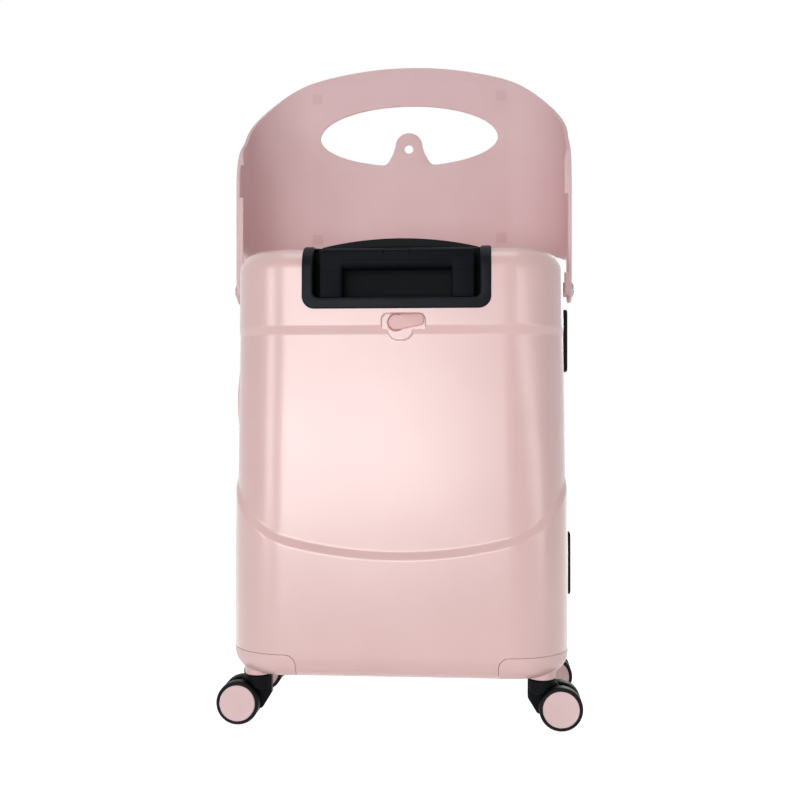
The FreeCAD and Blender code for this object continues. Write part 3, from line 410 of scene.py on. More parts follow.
# Cuts a flat slab into strips across X or Y, then moves every point with a bending rule.
def bent(bm, cuts, axis, rule):
    for cut in cuts:
        everything = bm.verts[:] + bm.edges[:] + bm.faces[:]
        bmesh.ops.bisect_plane(bm, geom=everything, dist=1e-4, plane_co=axis * cut, plane_no=axis)
    for vert in bm.verts:
        vert.co = rule(vert.co)
    return facedOut(bm)


# The same shape on the other side of X = 0.
def mirrored(bm):
    other = bm.copy()
    bmesh.ops.scale(other, vec=(-1, 1, 1), verts=other.verts)
    return facedOut(other)


# A turned piece: its profile of radius and height pairs is spun about Z.
def turnedPiece(profile, steps=48):
    bm = bmesh.new()
    line = [bm.verts.new((radius, 0, height)) for radius, height in profile]
    edges = [bm.edges.new(pair) for pair in zip(line[:-1], line[1:])]
    bmesh.ops.spin(bm, geom=line + edges, cent=(0, 0, 0), axis=(0, 0, 1), angle=2 * pi, steps=steps,
                   use_merge=True)
    bmesh.ops.remove_doubles(bm, verts=bm.verts, dist=0.002)
    return facedOut(bm)


def blockBetween(low, high):
    bm = bmesh.new()
    bmesh.ops.create_cube(bm, size=1.0)
    bmesh.ops.scale(bm, vec=[b - a for a, b in zip(low, high)], verts=bm.verts)
    return moved(bm, [(a + b) / 2 for a, b in zip(low, high)])


# Even steps from start up to, but not with, end.
def spread(start, end, step):
    count = max(1, ceil(abs(end - start) / step))
    return [start + (end - start) * i / count for i in range(count)]


def softStep(share):
    share = min(1.0, max(0.0, share))
    return share * share * (3 - 2 * share)


# A straight ramp from 0 to 1 whose two ends are rounded off.
def bevelStep(share, rounding=0.2):
    if share > 0.5:
        return 1 - bevelStep(1 - share, rounding)
    if share > rounding:
        return share
    return max(share + rounding, 0) ** 2 / (4 * rounding)


# case shells

case = {
    "half": 195, "rearDepth": 120, "frontDepth": 123, "bottom": 59, "top": 550,
    "corner": 70, "edge": 25, "wall": 3, "rearRim": 14, "lidRim": 28,
    "topHalf": 191, "draft": 0.0155, "draftTop": 490, "draftDrop": 290, "bulge": 1.3,
    "recess": 5, "stepTop": 460, "stepDrop": 9.5,
    "smileLow": 200, "smileCrown": 500, "smileShoulder": 105, "smileHalf": 201, "smileBand": 8.5,
    "leastLean": 0.7,
}
guard = {
    "pivotY": -4, "pivotZ": 510, "half": 204, "wall": 4.5, "reach": 112, "bottom": 64, "top": 307,
    "crown": 470, "shoulder": 110, "corner": 75, "arm": 16, "armRoot": 43, "edge": 1.3,
    "wingRise": 130, "wingRound": 60, "wingSlope": 29,
    "lipWidth": 4.2, "lipDepth": 4.5, "lipTuck": 2.8, "lipFade": 150, "lipFadeLong": 30,
    "leftLips": [(-11, 117), (153, 180)], "rightLips": [(-11, 20), (114, 180)],
    "windowHalf": 117.6, "windowLevel": 214, "windowRise": 42, "windowDrop": 37.5,
    "tabHead": 18, "tabLevel": 202.5, "tabHole": 5.75, "tabHoleLevel": 199,
    "latchNotchHalf": 14, "latchNotchHigh": 16, "latchNotchDeep": 2.6,
    "tonguePlay": 2, "tongueNotchHigh": 4.6, "tongueNotchDeep": 2.4,
}
latch = {
    "level": 463.5, "length": 31, "round": 8.2, "tipHigh": 10.6, "thick": 3.4, "proud": 1.7, "edge": 1,
    "waist": 4.5, "waistRound": 7, "tipLowRound": 3.8, "tipRound": 4.6,
    "pocketLeft": -17, "pocketRight": 34, "pocketTop": 473.5, "pocketHigh": 60, "pocketRound": 7,
    "pocketDepth": 2.2, "seatGap": 0.8, "seatSoft": 1.2, "seatDepth": 2.6, "softEdge": 1.6,
    "tongueLeft": -10, "tongueRight": 19.5, "tongueLow": 443.6, "tongueHigh": 30, "tongueRound": 12,
    "pinRadius": 2.5, "pinLong": 9, "pinGap": 0.2,
}
# How finely a half is divided: the rear one is finest round its latch and along the smile.
grid = {
    "side": 0.12, "arc": 3, "edge": 9, "bandRows": 9, "latchLow": 438, "latchHigh": 480,
    "rearStops": [-24, 41], "rearAcross": [3.2, 0.7, 3.2], "rearUp": [5, 0.7, 6, 0.75, 6],
    "plainAcross": [8], "plainUp": [12, 12, 12, 1.5, 12],
}
wingSlope = tan(radians(guard["wingSlope"]))
smileArm = case["smileHalf"] - case["smileShoulder"]
smileLift = sqrt((case["smileCrown"] - case["smileShoulder"]) ** 2 - smileArm ** 2)


# Height of the smile's edge at a place across the rear view, and the cosine of its slope, kept off zero.
def smileEdge(across):
    crown, shoulder = case["smileCrown"], case["smileShoulder"]
    centre = case["smileLow"] + crown
    if across < crown * smileArm / (crown - shoulder):
        return centre - sqrt(crown ** 2 - across ** 2), sqrt(1 - (across / crown) ** 2)
    lean = sqrt(1 - ((across - smileArm) / shoulder) ** 2)
    return centre - smileLift - shoulder * lean, max(lean, case["leastLean"])


# Rows of the shell's grid bend with the smile, so that its band has rows of its own.
def followSmile(z, edge, lean):
    low, high, middle = case["bottom"] + case["edge"], grid["latchLow"], case["smileLow"]
    if z <= low or z >= high:
        return z
    reach = grid["bandRows"]
    rows = [low, middle - reach, middle + reach, high]
    places = [low, edge - reach / lean, edge + reach / lean, high]
    part = sum(z > row for row in rows[1:3])
    share = (z - rows[part]) / (rows[part + 1] - rows[part])
    return places[part] + share * (places[part + 1] - places[part])


# Signed distance to a rounded box of the rear view, negative inside.
def boxDistance(x, z, low, high, radius):
    dx = abs(x - (low[0] + high[0]) / 2) - (high[0] - low[0]) / 2 + radius
    dz = abs(z - (low[1] + high[1]) / 2) - (high[1] - low[1]) / 2 + radius
    return hypot(max(dx, 0), max(dz, 0)) + min(max(dx, dz), 0) - radius


# How deep the rear face is sunk at a point: the guard's field, and the latch's pocket, tongue and seat.
def sunkDepth(x, z, belly):
    depth = case["recess"] * bevelStep((case["stepTop"] - z) / case["stepDrop"]) * (1 - belly)
    soft = latch["softEdge"]
    pocket = boxDistance(x, z, (latch["pocketLeft"], latch["pocketTop"] - latch["pocketHigh"]),
                         (latch["pocketRight"], latch["pocketTop"]), latch["pocketRound"])
    depth = max(depth, latch["pocketDepth"] * softStep(0.5 - pocket / soft))
    ring = abs(hypot(x, z - latch["level"]) - latch["round"] - latch["seatGap"])
    seat = latch["seatDepth"] * softStep(latch["seatSoft"] - ring)
    tongue = boxDistance(x, z, (latch["tongueLeft"], latch["tongueLow"]),
                         (latch["tongueRight"], latch["tongueLow"] + latch["tongueHigh"]),
                         latch["tongueRound"])
    share = softStep(0.5 - tongue / soft)
    if share > 0:
        depth = min(depth, latch["pocketDepth"] * share + case["recess"] * (1 - share))
    return depth + seat


# The edge runs on up the rear half's sides as the stowed wings do. The lid takes its height at the rim.
lidEdge = smileEdge(case["half"])[0] + (case["rearDepth"] - case["corner"] + case["rearRim"]) * wingSlope


# One half of the case as an open tray: a grid laid round the plan and up the wall, then moved on to the form.
def caseHalf(depth, rim, facing, sunk):
    corner, edge, half = case["corner"], case["edge"], case["half"]
    low, high, smileLow, reach = case["bottom"] + edge, case["top"] - edge, case["smileLow"], grid["bandRows"]
    flat = half - corner
    across, up = (grid["rearAcross"], grid["rearUp"]) if sunk else (grid["plainAcross"], grid["plainUp"])
    columns = [("left", s) for s in spread(0, 1, grid["side"])]
    columns += [("leftArc", a) for a in spread(0, 90, grid["arc"])]
    stops = [-flat] + (grid["rearStops"] if sunk else []) + [flat]
    for start, end, step in zip(stops[:-1], stops[1:], across):
        columns += [("face", x) for x in spread(start, end, step)]
    columns += [("face", flat)]
    columns += [("rightArc", a) for a in spread(grid["arc"], 90, grid["arc"])] + [("rightArc", 90)]
    columns += [("right", s) for s in spread(grid["side"], 1, grid["side"])] + [("right", 1)]
    rows = [(high + edge * sind(a), edge - edge * cosd(a)) for a in spread(90, 0, grid["edge"])]
    heights = [high, grid["latchHigh"], grid["latchLow"], smileLow + reach, smileLow - reach, low]
    for start, end, step in zip(heights[:-1], heights[1:], up):
        rows += [(z, 0) for z in spread(start, end, step)]
    rows += [(low - edge * sind(a), edge - edge * cosd(a)) for a in spread(0, 90, grid["edge"])]
    rows += [(case["bottom"], edge)]

    bm = bmesh.new()
    bmesh.ops.create_grid(bm, x_segments=len(columns) - 1, y_segments=len(rows) - 1, size=1)
    bm.verts.ensure_lookup_table()
    ordered = sorted(bm.verts, key=lambda v: (round(v.co.y, 5), round(v.co.x, 5)))
    for number, vert in enumerate(ordered):
        kind, place = columns[number % len(columns)]
        z, inset = rows[number // len(columns)]
        side = -1 if kind.startswith("left") else 1
        roughX = place if kind == "face" else side * half
        if kind.endswith("Arc"):
            roughX = side * (flat + corner * (cosd(place) if side < 0 else sind(place)))
        smileAt, lean = lidEdge, 1
        if facing < 0:
            smileAt, lean = smileEdge(abs(roughX))
            sideShare = 1 - abs(place - (side > 0)) if kind in ("left", "right") else 0
            smileAt += (depth - corner + rim) * sideShare * wingSlope
        z = z if inset else followSmile(z, smileAt, lean)
        belly = bevelStep((smileAt - z) * lean / case["smileBand"] + 0.5)
        drop = min(max(case["draftTop"] - z, 0), case["draftDrop"])
        wide = case["topHalf"] + case["draft"] * drop + case["bulge"] * belly
        deep = depth - (sunk(roughX, z, belly) if sunk else 0)
        armX, armY = wide - corner, deep - corner
        if kind == "face":
            x, y = place / flat * armX, deep - inset
        elif kind.endswith("Arc"):
            turn = radians(place if side < 0 else 90 - place)
            x, y = side * (armX + (corner - inset) * cos(turn)), armY + (corner - inset) * sin(turn)
        else:
            share = place if side < 0 else 1 - place
            x, y = side * (wide - inset), facing * rim + (armY - facing * rim) * share
        vert.co = (x, facing * y, z)
    for row in (0, len(rows) - 1):
        bmesh.ops.contextual_create(bm, geom=ordered[row * len(columns):(row + 1) * len(columns)])
    bmesh.ops.remove_doubles(bm, verts=bm.verts, dist=0.01)
    facedOut(bm)
    outward = max(bm.faces, key=lambda f: facing * f.calc_center_median().y)
    if facing * outward.normal.y < 0:
        bmesh.ops.reverse_faces(bm, faces=bm.faces)
    return bm


def closedHalf(depth, rim, facing):
    bm = caseHalf(depth, rim, facing, None)
    bmesh.ops.edgeloop_fill(bm, edges=[edge for edge in bm.edges if edge.is_boundary])
    return facedOut(bm)


halves = {
    "rear": (-1, case["rearDepth"], case["rearRim"], "case"),
    "front": (1, case["frontDepth"], case["lidRim"], "lid"),
}
sides = {"left": -1, "right": 1}
bracket = {
    "inner": 115, "height": 87, "reach": 30, "corner": 12, "seam": 0.5, "outer": 260, "foot": -10,
    "deep": 200, "stemX": 165, "rear": -75, "front": 78, "stemRadius": 15.5, "stemLow": 56,
}
cup = {
    "half": 103, "low": 483, "lap": 4, "band": 12.5, "corner": 14, "innerCorner": 7, "thick": 5,
    "convex": 2.4, "sunk": 0.5, "topReach": 17, "backBand": 7.5, "rearCorner": 6, "innerRearCorner": 4,
    "mouthCorner": 10, "mouthDeep": 38, "wall": 6, "back": -82, "backWall": 3.6, "play": 0.5, "skin": 0.6,
    "hollowCorner": 9, "hollowEdge": 3, "hollowDeep": 60,
    "holeX": 75.5, "holeY": -100, "holeWide": 24, "holeDeep": 17,
}


# The corner that a caster bracket takes, as a long block with its inner upper edge rounded.
def bracketSpace(side, facing, spare):
    inner, top = bracket["inner"] - spare, bracket["height"] + spare
    outer, foot = bracket["outer"], bracket["foot"]
    outline = rounded([(inner, foot, 0), (outer, foot, 0), (outer, top, 0), (inner, top, bracket["corner"])])
    middle = bracket["deep"] / 2 + bracket["reach"] - spare
    block = standUp(slab([outline], bracket["deep"], 0.0), facing * middle)
    return block if side > 0 else mirrored(block)


mouth = roundedBox((-cup["half"], cup["low"]), (cup["half"], case["top"] + 60), cup["mouthCorner"], 0)
cupMouth = standUp(slab([mouth], 2 * cup["mouthDeep"], 0.0), -case["rearDepth"])
for end, (facing, depth, rim, body) in halves.items():
    sunk, extra = (sunkDepth, [cupMouth]) if end == "rear" else (None, [])
    tray = thickened(caseHalf(depth, rim, facing, sunk), case["wall"])
    cuts = [bracketSpace(side, facing, bracket["seam"]) for side in sides.values()] + extra
    node = f"{end}_shell"
    finishPiece(carved(tray, cuts), node + "_moulding", pearlShell, body, [node], 32)
print("case shells ready")


# corner brackets with the stems that the casters turn in

def stem():
    radius, low = bracket["stemRadius"], bracket["stemLow"]
    foot = [(0, low), (radius - 1.2, low), (radius - 0.3, low + 0.3), (radius, low + 1.2)]
    steps = ((0, 2), (0.4, 5), (1.2, 8), (2.4, 12), (3, 16))
    flare = smoothLine([(radius + out, low + up) for out, up in steps], 4)
    return turnedPiece(foot + flare + [(0, low + 17)])


for end, (facing, depth, rim, body) in halves.items():
    for sideName, side in sides.items():
        block = carved(closedHalf(depth, rim, facing), [bracketSpace(side, facing, 0)], "INTERSECT")
        post = moved(stem(), (side * bracket["stemX"], bracket[end], 0))
        block = carved(block, [post], "UNION")
        node = f"corner_bracket_{end}_{sideName}"
        finishPiece(block, node + "_moulding", trimPink, body, [node], 40)
print("corner brackets ready")


# seat guard: a flat sheet with its window, bent round the plan of the case

sheetRadius = guard["corner"] - guard["wall"] / 2
bendX = guard["half"] - guard["corner"]
bendY = guard["pivotY"] + guard["reach"] + guard["wall"] - guard["corner"]
bendLength = sheetRadius * pi / 2
wingRear = guard["pivotY"] - guard["arm"]


# Height of the sheet's upper edge over the pivot: a flat crown that runs into a rounded shoulder.
def crownHeight(across):
    crown, shoulder = guard["crown"], guard["shoulder"]
    shoulderAt = guard["half"] - shoulder
    low = guard["top"] - crown
    if across < crown * shoulderAt / (crown - shoulder):
        return low + sqrt(crown ** 2 - across ** 2)
    rise = sqrt((crown - shoulder) ** 2 - shoulderAt ** 2)
    return low + rise + sqrt(max(shoulder ** 2 - (across - shoulderAt) ** 2, 0))


# Distance along the sheet from its middle to a place on the wing or its bend.
def alongSheet(y):
    if y <= bendY:
        return bendX + bendLength + bendY - y
    return bendX + sheetRadius * acos(min(1, (y - bendY) / sheetRadius))


def sheetOutline():
    crown = [(across, crownHeight(across)) for across in (0, 25, 50, 75, 100, 120)]
    crown += [(bendX + sheetRadius * radians(t), crownHeight(bendX + guard["corner"] * sind(t)))
              for t in (6, 16, 26, 36)]
    turn, ring = 90 - guard["wingSlope"], guard["wingRound"]
    top = [(wingRear + ring - ring * cosd(t), guard["wingRise"] + ring * sind(t))
           for t in (turn, turn * 0.75, turn * 0.5, turn * 0.25, 0)]
    leanY, leanZ = top[0]
    lean = [(bendY - 6, leanZ + (bendY - 6 - leanY) * wingSlope + 1.5)]
    wing = [(alongSheet(y), z) for y, z in lean + top]
    (crownEnd, crownLow), (wingStart, wingHigh) = crown[-1], wing[0]
    shoulder = [(crownEnd + (wingStart - crownEnd) * share, crownLow + (wingHigh - crownLow) * share + 0.4)
                for share in (1 / 3, 2 / 3)]
    upper = smoothLine(crown + shoulder + wing, 5)
    arm = arcPoints(guard["pivotY"], 0, guard["arm"], 180, 360, 16)
    rootY, rootZ, hemY, hem = guard["pivotY"] + guard["arm"], guard["armRoot"], bendY + 12, guard["bottom"]
    root = [(rootY, rootZ * 0.5), (rootY, rootZ - 8), (rootY + 2.5, rootZ - 0.5), (rootY + 10, rootZ),
            (hemY, rootZ), (hemY + 12, rootZ + 3)]
    lower = smoothLine([(alongSheet(y), z) for y, z in root]
                       + [(bendX + 26, hem - 2), (bendX + 8, hem), (bendX - 10, hem)], 5)
    right = upper + [(alongSheet(y), z) for y, z in arm] + lower
    left = [(-u, z) for u, z in reversed(right)]
    return [(u, guard["pivotZ"] + z) for u, z in right + left[:-1]]


# Window of two half ellipses, with the flared tab standing on its lower edge.
def windowOutline():
    half, level, drop = guard["windowHalf"], guard["windowLevel"], guard["windowDrop"]
    head, headLevel = guard["tabHead"], guard["tabLevel"]

    def lowerEdge(x):
        return level - drop * sqrt(max(1 - (x / half) ** 2, 0))

    over = [(half * cosd(a), level + guard["windowRise"] * sind(a)) for a in range(0, 180, 3)]
    under = [(half * cosd(a), level + drop * sind(a)) for a in range(180, 248, 3)]
    flare = smoothLine([(-44, lowerEdge(44)), (-34, lowerEdge(34) + 0.2), (-28.5, level - drop + 4.2),
                        (-24.2, level - drop + 10.8), (-20.6, headLevel - 8), (-head, headLevel)], 6)
    tab = flare[:-1] + arcPoints(0, headLevel, head, 180, 90, 10)
    tab += [(-x, z) for x, z in reversed(tab[:-1])]
    outline = over + under + tab + [(-x, z) for x, z in reversed(under[1:])]
    return [(u, guard["pivotZ"] + z) for u, z in outline]


# Bends the flat sheet round the case: panel, quarter bend and wing on either side.
def onSheet(point):
    u, z, depth = point
    side = -1 if u < 0 else 1
    u = abs(u)
    if u <= bendX:
        return Vector((side * u, bendY + sheetRadius + depth, z))
    turn = (u - bendX) / sheetRadius
    if turn <= pi / 2:
        reach = sheetRadius + depth
        return Vector((side * (bendX + reach * sin(turn)), bendY + reach * cos(turn), z))
    return Vector((side * (bendX + sheetRadius + depth), bendY - (u - bendX - bendLength), z))


# The lip that stiffens a wing's rear edge, between two heights over the pivot, and thins out towards its top.
def lipStrip(low, high):
    ring, straight, skin, tip, chamfer = guard["wingRound"], 1000, 0.04, 1.2, 0.8
    edge = [(guard["pivotY"], 0, guard["arm"], a) for a in (240, 225, 210, 195)]
    edge += [(wingRear + straight, z, straight, 180) for z in spread(0, guard["wingRise"], 4)]
    edge += [(wingRear + ring, guard["wingRise"], ring, a) for a in range(180, 110, -5)]
    outer, inner = [], []
    for centreY, centreZ, radius, a in edge:
        places = [(centreY + r * cosd(a), centreZ + r * sind(a))
                  for r in (radius + skin, radius - guard["lipDepth"])]
        if low <= places[0][1] <= high:
            outer.append(places[0])
            inner.append(places[1])
    for end, lift in ((0, tip), (-1, -tip)):
        outer[end] = (outer[end][0] + chamfer, outer[end][1])
        inner[end] = (inner[end][0], inner[end][1] + lift)
    outline = [(y, guard["pivotZ"] + z) for y, z in outer + inner[::-1]]
    thick = guard["wall"] + guard["lipWidth"] - guard["lipTuck"]
    middle = guard["half"] - guard["wall"] - guard["lipWidth"] + thick / 2
    lip = standSide(slab([outline], thick, 1.0), middle)
    wall = guard["half"] - guard["wall"] + 0.4
    for vert in lip.verts:
        share = softStep((vert.co.z - guard["pivotZ"] - guard["lipFade"]) / guard["lipFadeLong"])
        vert.co.x += max(wall - vert.co.x, 0) * share
    return lip


tabHole = arcPoints(0, guard["pivotZ"] + guard["tabHoleLevel"], guard["tabHole"], 0, 350, 35)
sheet = slab([sheetOutline(), windowOutline(), tabHole], guard["wall"], guard["edge"])
folds = [bendX + bendLength * i / 26 for i in range(27)]
sheet = bent(sheet, folds + [-fold for fold in folds] + [0], Vector((1, 0, 0)), onSheet)
outerFace = bendY + guard["corner"]
innerFace = outerFace - guard["wall"]
hemZ = guard["pivotZ"] + guard["bottom"]
latchNotch = blockBetween(
    (-guard["latchNotchHalf"], outerFace - guard["latchNotchDeep"], hemZ - 10),
    (guard["latchNotchHalf"], outerFace + 10, hemZ + guard["latchNotchHigh"]))
tongueNotch = blockBetween(
    (latch["tongueLeft"] - guard["tonguePlay"], innerFace - 10, hemZ - 10),
    (latch["tongueRight"] + guard["tonguePlay"], innerFace + guard["tongueNotchDeep"],
     hemZ + guard["tongueNotchHigh"]))
lips = [lipStrip(low, high) for low, high in guard["rightLips"]]
lips += [mirrored(lipStrip(low, high)) for low, high in guard["leftLips"]]
finishPiece(joined(carved(sheet, [latchNotch, tongueNotch]), *lips), "seat_guard_sheet", satinGuard, "guard",
            ["seat_guard"], 30)
smoothCopy("guard_bumpers", bumperPink)
print("seat guard ready")


# pivots: slotted screws with low domed heads, bushes and nuts

screw = {"radius": 10, "head": 3.8, "shank": 4, "length": 22, "slot": 2.2, "slotDepth": 1.7, "play": 0.3}


def slottedScrew():
    radius, head, shank = screw["radius"], screw["head"], screw["shank"]
    shares = ((0, 1), (0.3, 0.98), (0.6, 0.86), (0.84, 0.58), (0.97, 0.24), (1, 0))
    dome = [(radius * out, head * up) for out, up in shares]
    body = turnedPiece(dome + [(shank, 0), (shank, -screw["length"]), (0, -screw["length"])])
    slotHalf = screw["slot"] / 2
    slot = blockBetween((-slotHalf, -20, head - screw["slotDepth"]), (slotHalf, 20, head + 5))
    return turned(carved(body, [slot]), pi / 2, "Y")


rightScrew = moved(slottedScrew(), (guard["half"] + screw["play"], guard["pivotY"], guard["pivotZ"]))
finishPiece(joined(mirrored(rightScrew), rightScrew), "slotted_pivot_screws", screwSteel, "case",
            ["pivot_screws"], 30)
smoothCopy("pivot_bushes", trimPink)
smoothCopy("pivot_nuts", screwSteel)


# turn latch: a teardrop lever whose pin ends behind its face

head, tip = latch["round"], latch["length"]
lever = slab([rounded([
    (-head, -head, head - 0.1), (latch["waist"], -head, latch["waistRound"]),
    (tip, head - latch["tipHigh"], latch["tipLowRound"]), (tip, head, latch["tipRound"]),
    (-head, head, head - 0.1)])], latch["thick"], latch["edge"], 4)
leverY = -case["rearDepth"] - latch["proud"] + latch["thick"] / 2
finishPiece(moved(standUp(lever, leverY), (0, 0, latch["level"])), "turn_latch_lever", latchPink, "latch",
            ["latch_lever"])
radius, long = latch["pinRadius"], latch["pinLong"]
pin = turnedPiece([(0, 0), (radius, 0), (radius, long - 0.5), (radius - 0.4, long), (0, long)], 24)
finishPiece(moved(turned(pin, -pi / 2, "X"), (0, leverY + latch["pinGap"], latch["level"])), "turn_latch_pin",
            screwSteel, "case", ["latch_pin"])
print("pivots and latch ready")


# trolley cup: a convex band folded over the case's top edge, round a deep tray

topArc = case["edge"] * pi / 2
edgeFoot = case["top"] - case["edge"]


# Lays a flat band on the case's upper rear edge: v runs up the face, over the edge and on to the top.
def overEdge(point):
    x, v, lift = point
    lift -= cup["sunk"]
    rear, edge = -case["rearDepth"], case["edge"]
    if v <= edgeFoot:
        return Vector((x, rear - lift, v))
    turn = (v - edgeFoot) / edge
    if turn <= pi / 2:
        reach = edge + lift
        return Vector((x, rear + edge - reach * cos(turn), edgeFoot + reach * sin(turn)))
    return Vector((x, rear + edge + (v - edgeFoot - topArc), case["top"] + lift))


bandLow = cup["low"] - cup["lap"]
bandHigh = edgeFoot + topArc + cup["topReach"]
bandHalf = cup["half"] + cup["lap"]
bandIn = bandHalf - cup["band"]
band = slab([
    roundedBox((-bandHalf, bandLow), (bandHalf, bandHigh), cup["corner"], cup["rearCorner"]),
    roundedBox((-bandIn, bandLow + cup["band"]), (bandIn, bandHigh - cup["backBand"]),
               cup["innerCorner"], cup["innerRearCorner"])], cup["thick"], cup["convex"], 5)
band = bent(band, [edgeFoot + topArc * i / 12 for i in range(13)], Vector((0, 1, 0)), overEdge)

trayHalf = cup["half"] - cup["play"]
tray = carved(
    blockBetween((-trayHalf, -case["rearDepth"] - 5, cup["low"] + cup["play"]),
                 (trayHalf, cup["back"], case["top"] + 10)),
    [closedHalf(case["rearDepth"] - cup["skin"], case["rearRim"], -1)], "INTERSECT")
hollowHalf = cup["half"] - cup["wall"]
outline = roundedBox((-hollowHalf, cup["low"] + cup["wall"]), (hollowHalf, case["top"] + 50),
                     cup["hollowCorner"], 0)
hollow = slab([outline], cup["hollowDeep"], cup["hollowEdge"])
hollow = standUp(hollow, cup["back"] - cup["backWall"] - cup["hollowDeep"] / 2)
tubeHoles = [blockBetween((x - cup["holeWide"] / 2, cup["holeY"] - cup["holeDeep"] / 2, cup["low"] - 5),
                          (x + cup["holeWide"] / 2, cup["holeY"] + cup["holeDeep"] / 2, cup["low"] + 20))
             for x in (-cup["holeX"], cup["holeX"])]
# The tray's darker black is painted shade for the inside of the cup.
finishPiece(carved(tray, [hollow] + tubeHoles), "trolley_cup_tray", blackPlasticPaintedShade, "case",
            ["trolley_cup"], 34)
finishPiece(band, "trolley_cup_band", bandPlastic, "case", (), 34)


# trolley grip: a bar on two legs, a round grip under it, and the release button in its top

grip = {
    "y": -100, "half": 89, "legIn": 62, "low": 489.8, "barLow": 530, "top": 547, "depth": 26,
    "edge": 3.2, "footRound": 1.5, "legRound": 4, "topRound": 5, "barRound": 8.5, "barTopRound": 2,
    "gripLow": 524.6, "gripHigh": 536, "gripProud": 0.4, "plate": 0.7, "plateThick": 3,
    "buttonHalf": 15, "buttonDepth": 14, "buttonHigh": 8, "buttonProud": 2, "buttonRound": 2.5,
    "buttonEdge": 1.6, "wellPlay": 0.4, "wellDeep": 10.2, "crease": 1.1, "creaseDeep": 3.4, "creaseLong": 6,
}
half, legIn, low, barLow, top = (grip[name] for name in ("half", "legIn", "low", "barLow", "top"))
foot, leg, crest = grip["footRound"], grip["legRound"], grip["topRound"]
frameBar = slab([rounded([
    (-half, low, foot), (-legIn, low, foot), (-legIn, barLow, leg), (legIn, barLow, leg), (legIn, low, foot),
    (half, low, foot), (half, top, crest), (-half, top, crest)])], grip["depth"], grip["edge"], 4)
wellHalf = grip["buttonHalf"] + grip["wellPlay"]
wellDepth = grip["buttonDepth"] / 2 + grip["wellPlay"]
well = blockBetween((-wellHalf, grip["y"] - wellDepth, top - grip["wellDeep"]),
                    (wellHalf, grip["y"] + wellDepth, top + 5))
front = grip["y"] - grip["depth"] / 2
creases = [blockBetween((x - grip["crease"] / 2, front - 5, top - grip["creaseLong"]),
                        (x + grip["crease"] / 2, front + grip["creaseDeep"], top + 2))
           for x in (-grip["buttonHalf"], grip["buttonHalf"])]
frameBar = carved(standUp(frameBar, grip["y"]), [well] + creases)
back = front + grip["depth"]
roundBar = standSide(slab([roundedBox(
    (front - grip["gripProud"], grip["gripLow"]), (back + grip["gripProud"], grip["gripHigh"]),
    grip["barRound"], grip["barTopRound"])], 2 * legIn + 1.0, 0.4))
plates = []
for side in sides.values():
    x0, x1 = sorted((side * (legIn + 2.5), side * (half - 2.0)))
    plate = slab([roundedBox((x0, low + 6), (x1, barLow - 7), 1)], grip["plateThick"], 0.4)
    plates.append(standUp(plate, front + grip["plateThick"] / 2 - grip["plate"]))
finishPiece(joined(frameBar, roundBar, *plates), "trolley_grip_moulding", gripPlastic, "trolley_handle",
            ["trolley_grip"], 34)

buttonHalf, buttonDepth = grip["buttonHalf"], grip["buttonDepth"] / 2
button = slab([roundedBox((-buttonHalf, -buttonDepth), (buttonHalf, buttonDepth), grip["buttonRound"])],
              grip["buttonHigh"], grip["buttonEdge"], 4)
finishPiece(moved(button, (0, grip["y"], top + grip["buttonProud"] - grip["buttonHigh"] / 2)),
            "release_button_cap", blackRubber, "release_button", ["release_button"])
for node in ("trolley_outer_tubes", "trolley_mid_tubes", "trolley_inner_tubes"):
    smoothCopy(node, tubeAluminium, 25)
smoothCopy("tube_sockets", blackPlasticPaintedShade)
print("trolley ready")


# carry handles: a strap bent to an arc, on two low mounts

bow = {"mountHigh": 4, "mountLong": 24, "mountMargin": 2.5, "mountRound": 5, "mountEdge": 1.2, "edge": 1.4}
topBow = {"halfSpan": 92, "rise": 17, "width": 26, "y": -45, "middle": 11, "end": 6.5}
sideBow = {"halfSpan": 84, "rise": 22, "width": 22, "y": 48, "middle": 7, "end": 7.5,
           "level": 378, "seat": 192.74}


# An arc from one end to the other that rises to a crest over the middle.
def crestArc(halfSpan, foot, crest):
    rise = crest - foot
    radius = (halfSpan ** 2 + rise ** 2) / (2 * rise)
    turn = degrees(asin(halfSpan / radius))
    return arcPoints(0, crest - radius, radius, 90 - turn, 90 + turn, 40)


# The strap stands on the mounts and thins towards its ends.
def strap(spec):
    floor = bow["mountHigh"]
    upper = crestArc(spec["halfSpan"], spec["end"], spec["rise"])
    under = crestArc(spec["halfSpan"] - bow["mountLong"], floor, spec["rise"] - spec["middle"])
    outline = [(spec["halfSpan"], floor)] + upper + [(-spec["halfSpan"], floor)] + under[::-1]
    return standUp(slab([outline], spec["width"], bow["edge"]))


def mountPads(spec):
    high, wide = bow["mountHigh"], spec["width"] / 2 + bow["mountMargin"]
    pads = []
    for side in sides.values():
        x0, x1 = sorted((side * spec["halfSpan"], side * (spec["halfSpan"] - bow["mountLong"])))
        pad = slab([roundedBox((x0, -wide), (x1, wide), bow["mountRound"])], high, bow["mountEdge"])
        pads.append(moved(pad, (0, 0, high / 2)))
    return joined(*pads)


# Puts a handle on the left side, leaning with the side's draft.
def toLeftSide(bm):
    return transformed(bm, Matrix((
        (case["draft"], 0, -1, -sideBow["seat"]), (0, 1, 0, sideBow["y"]), (1, 0, 0, sideBow["level"]),
        (0, 0, 0, 1))))


onTop = (0, topBow["y"], case["top"])
finishPiece(moved(strap(topBow), onTop), "top_handle_strap", blackRubber, "case",
            ["top_handle"])
finishPiece(moved(mountPads(topBow), onTop), "top_handle_pads", blackPlasticPaintedShade, "case",
            ["top_handle_mounts"])
finishPiece(toLeftSide(strap(sideBow)), "side_handle_strap", trimPink, "lid", ["side_handle"])
finishPiece(toLeftSide(mountPads(sideBow)), "side_handle_pads", trimPink, "lid",
            ["side_handle_mounts"])

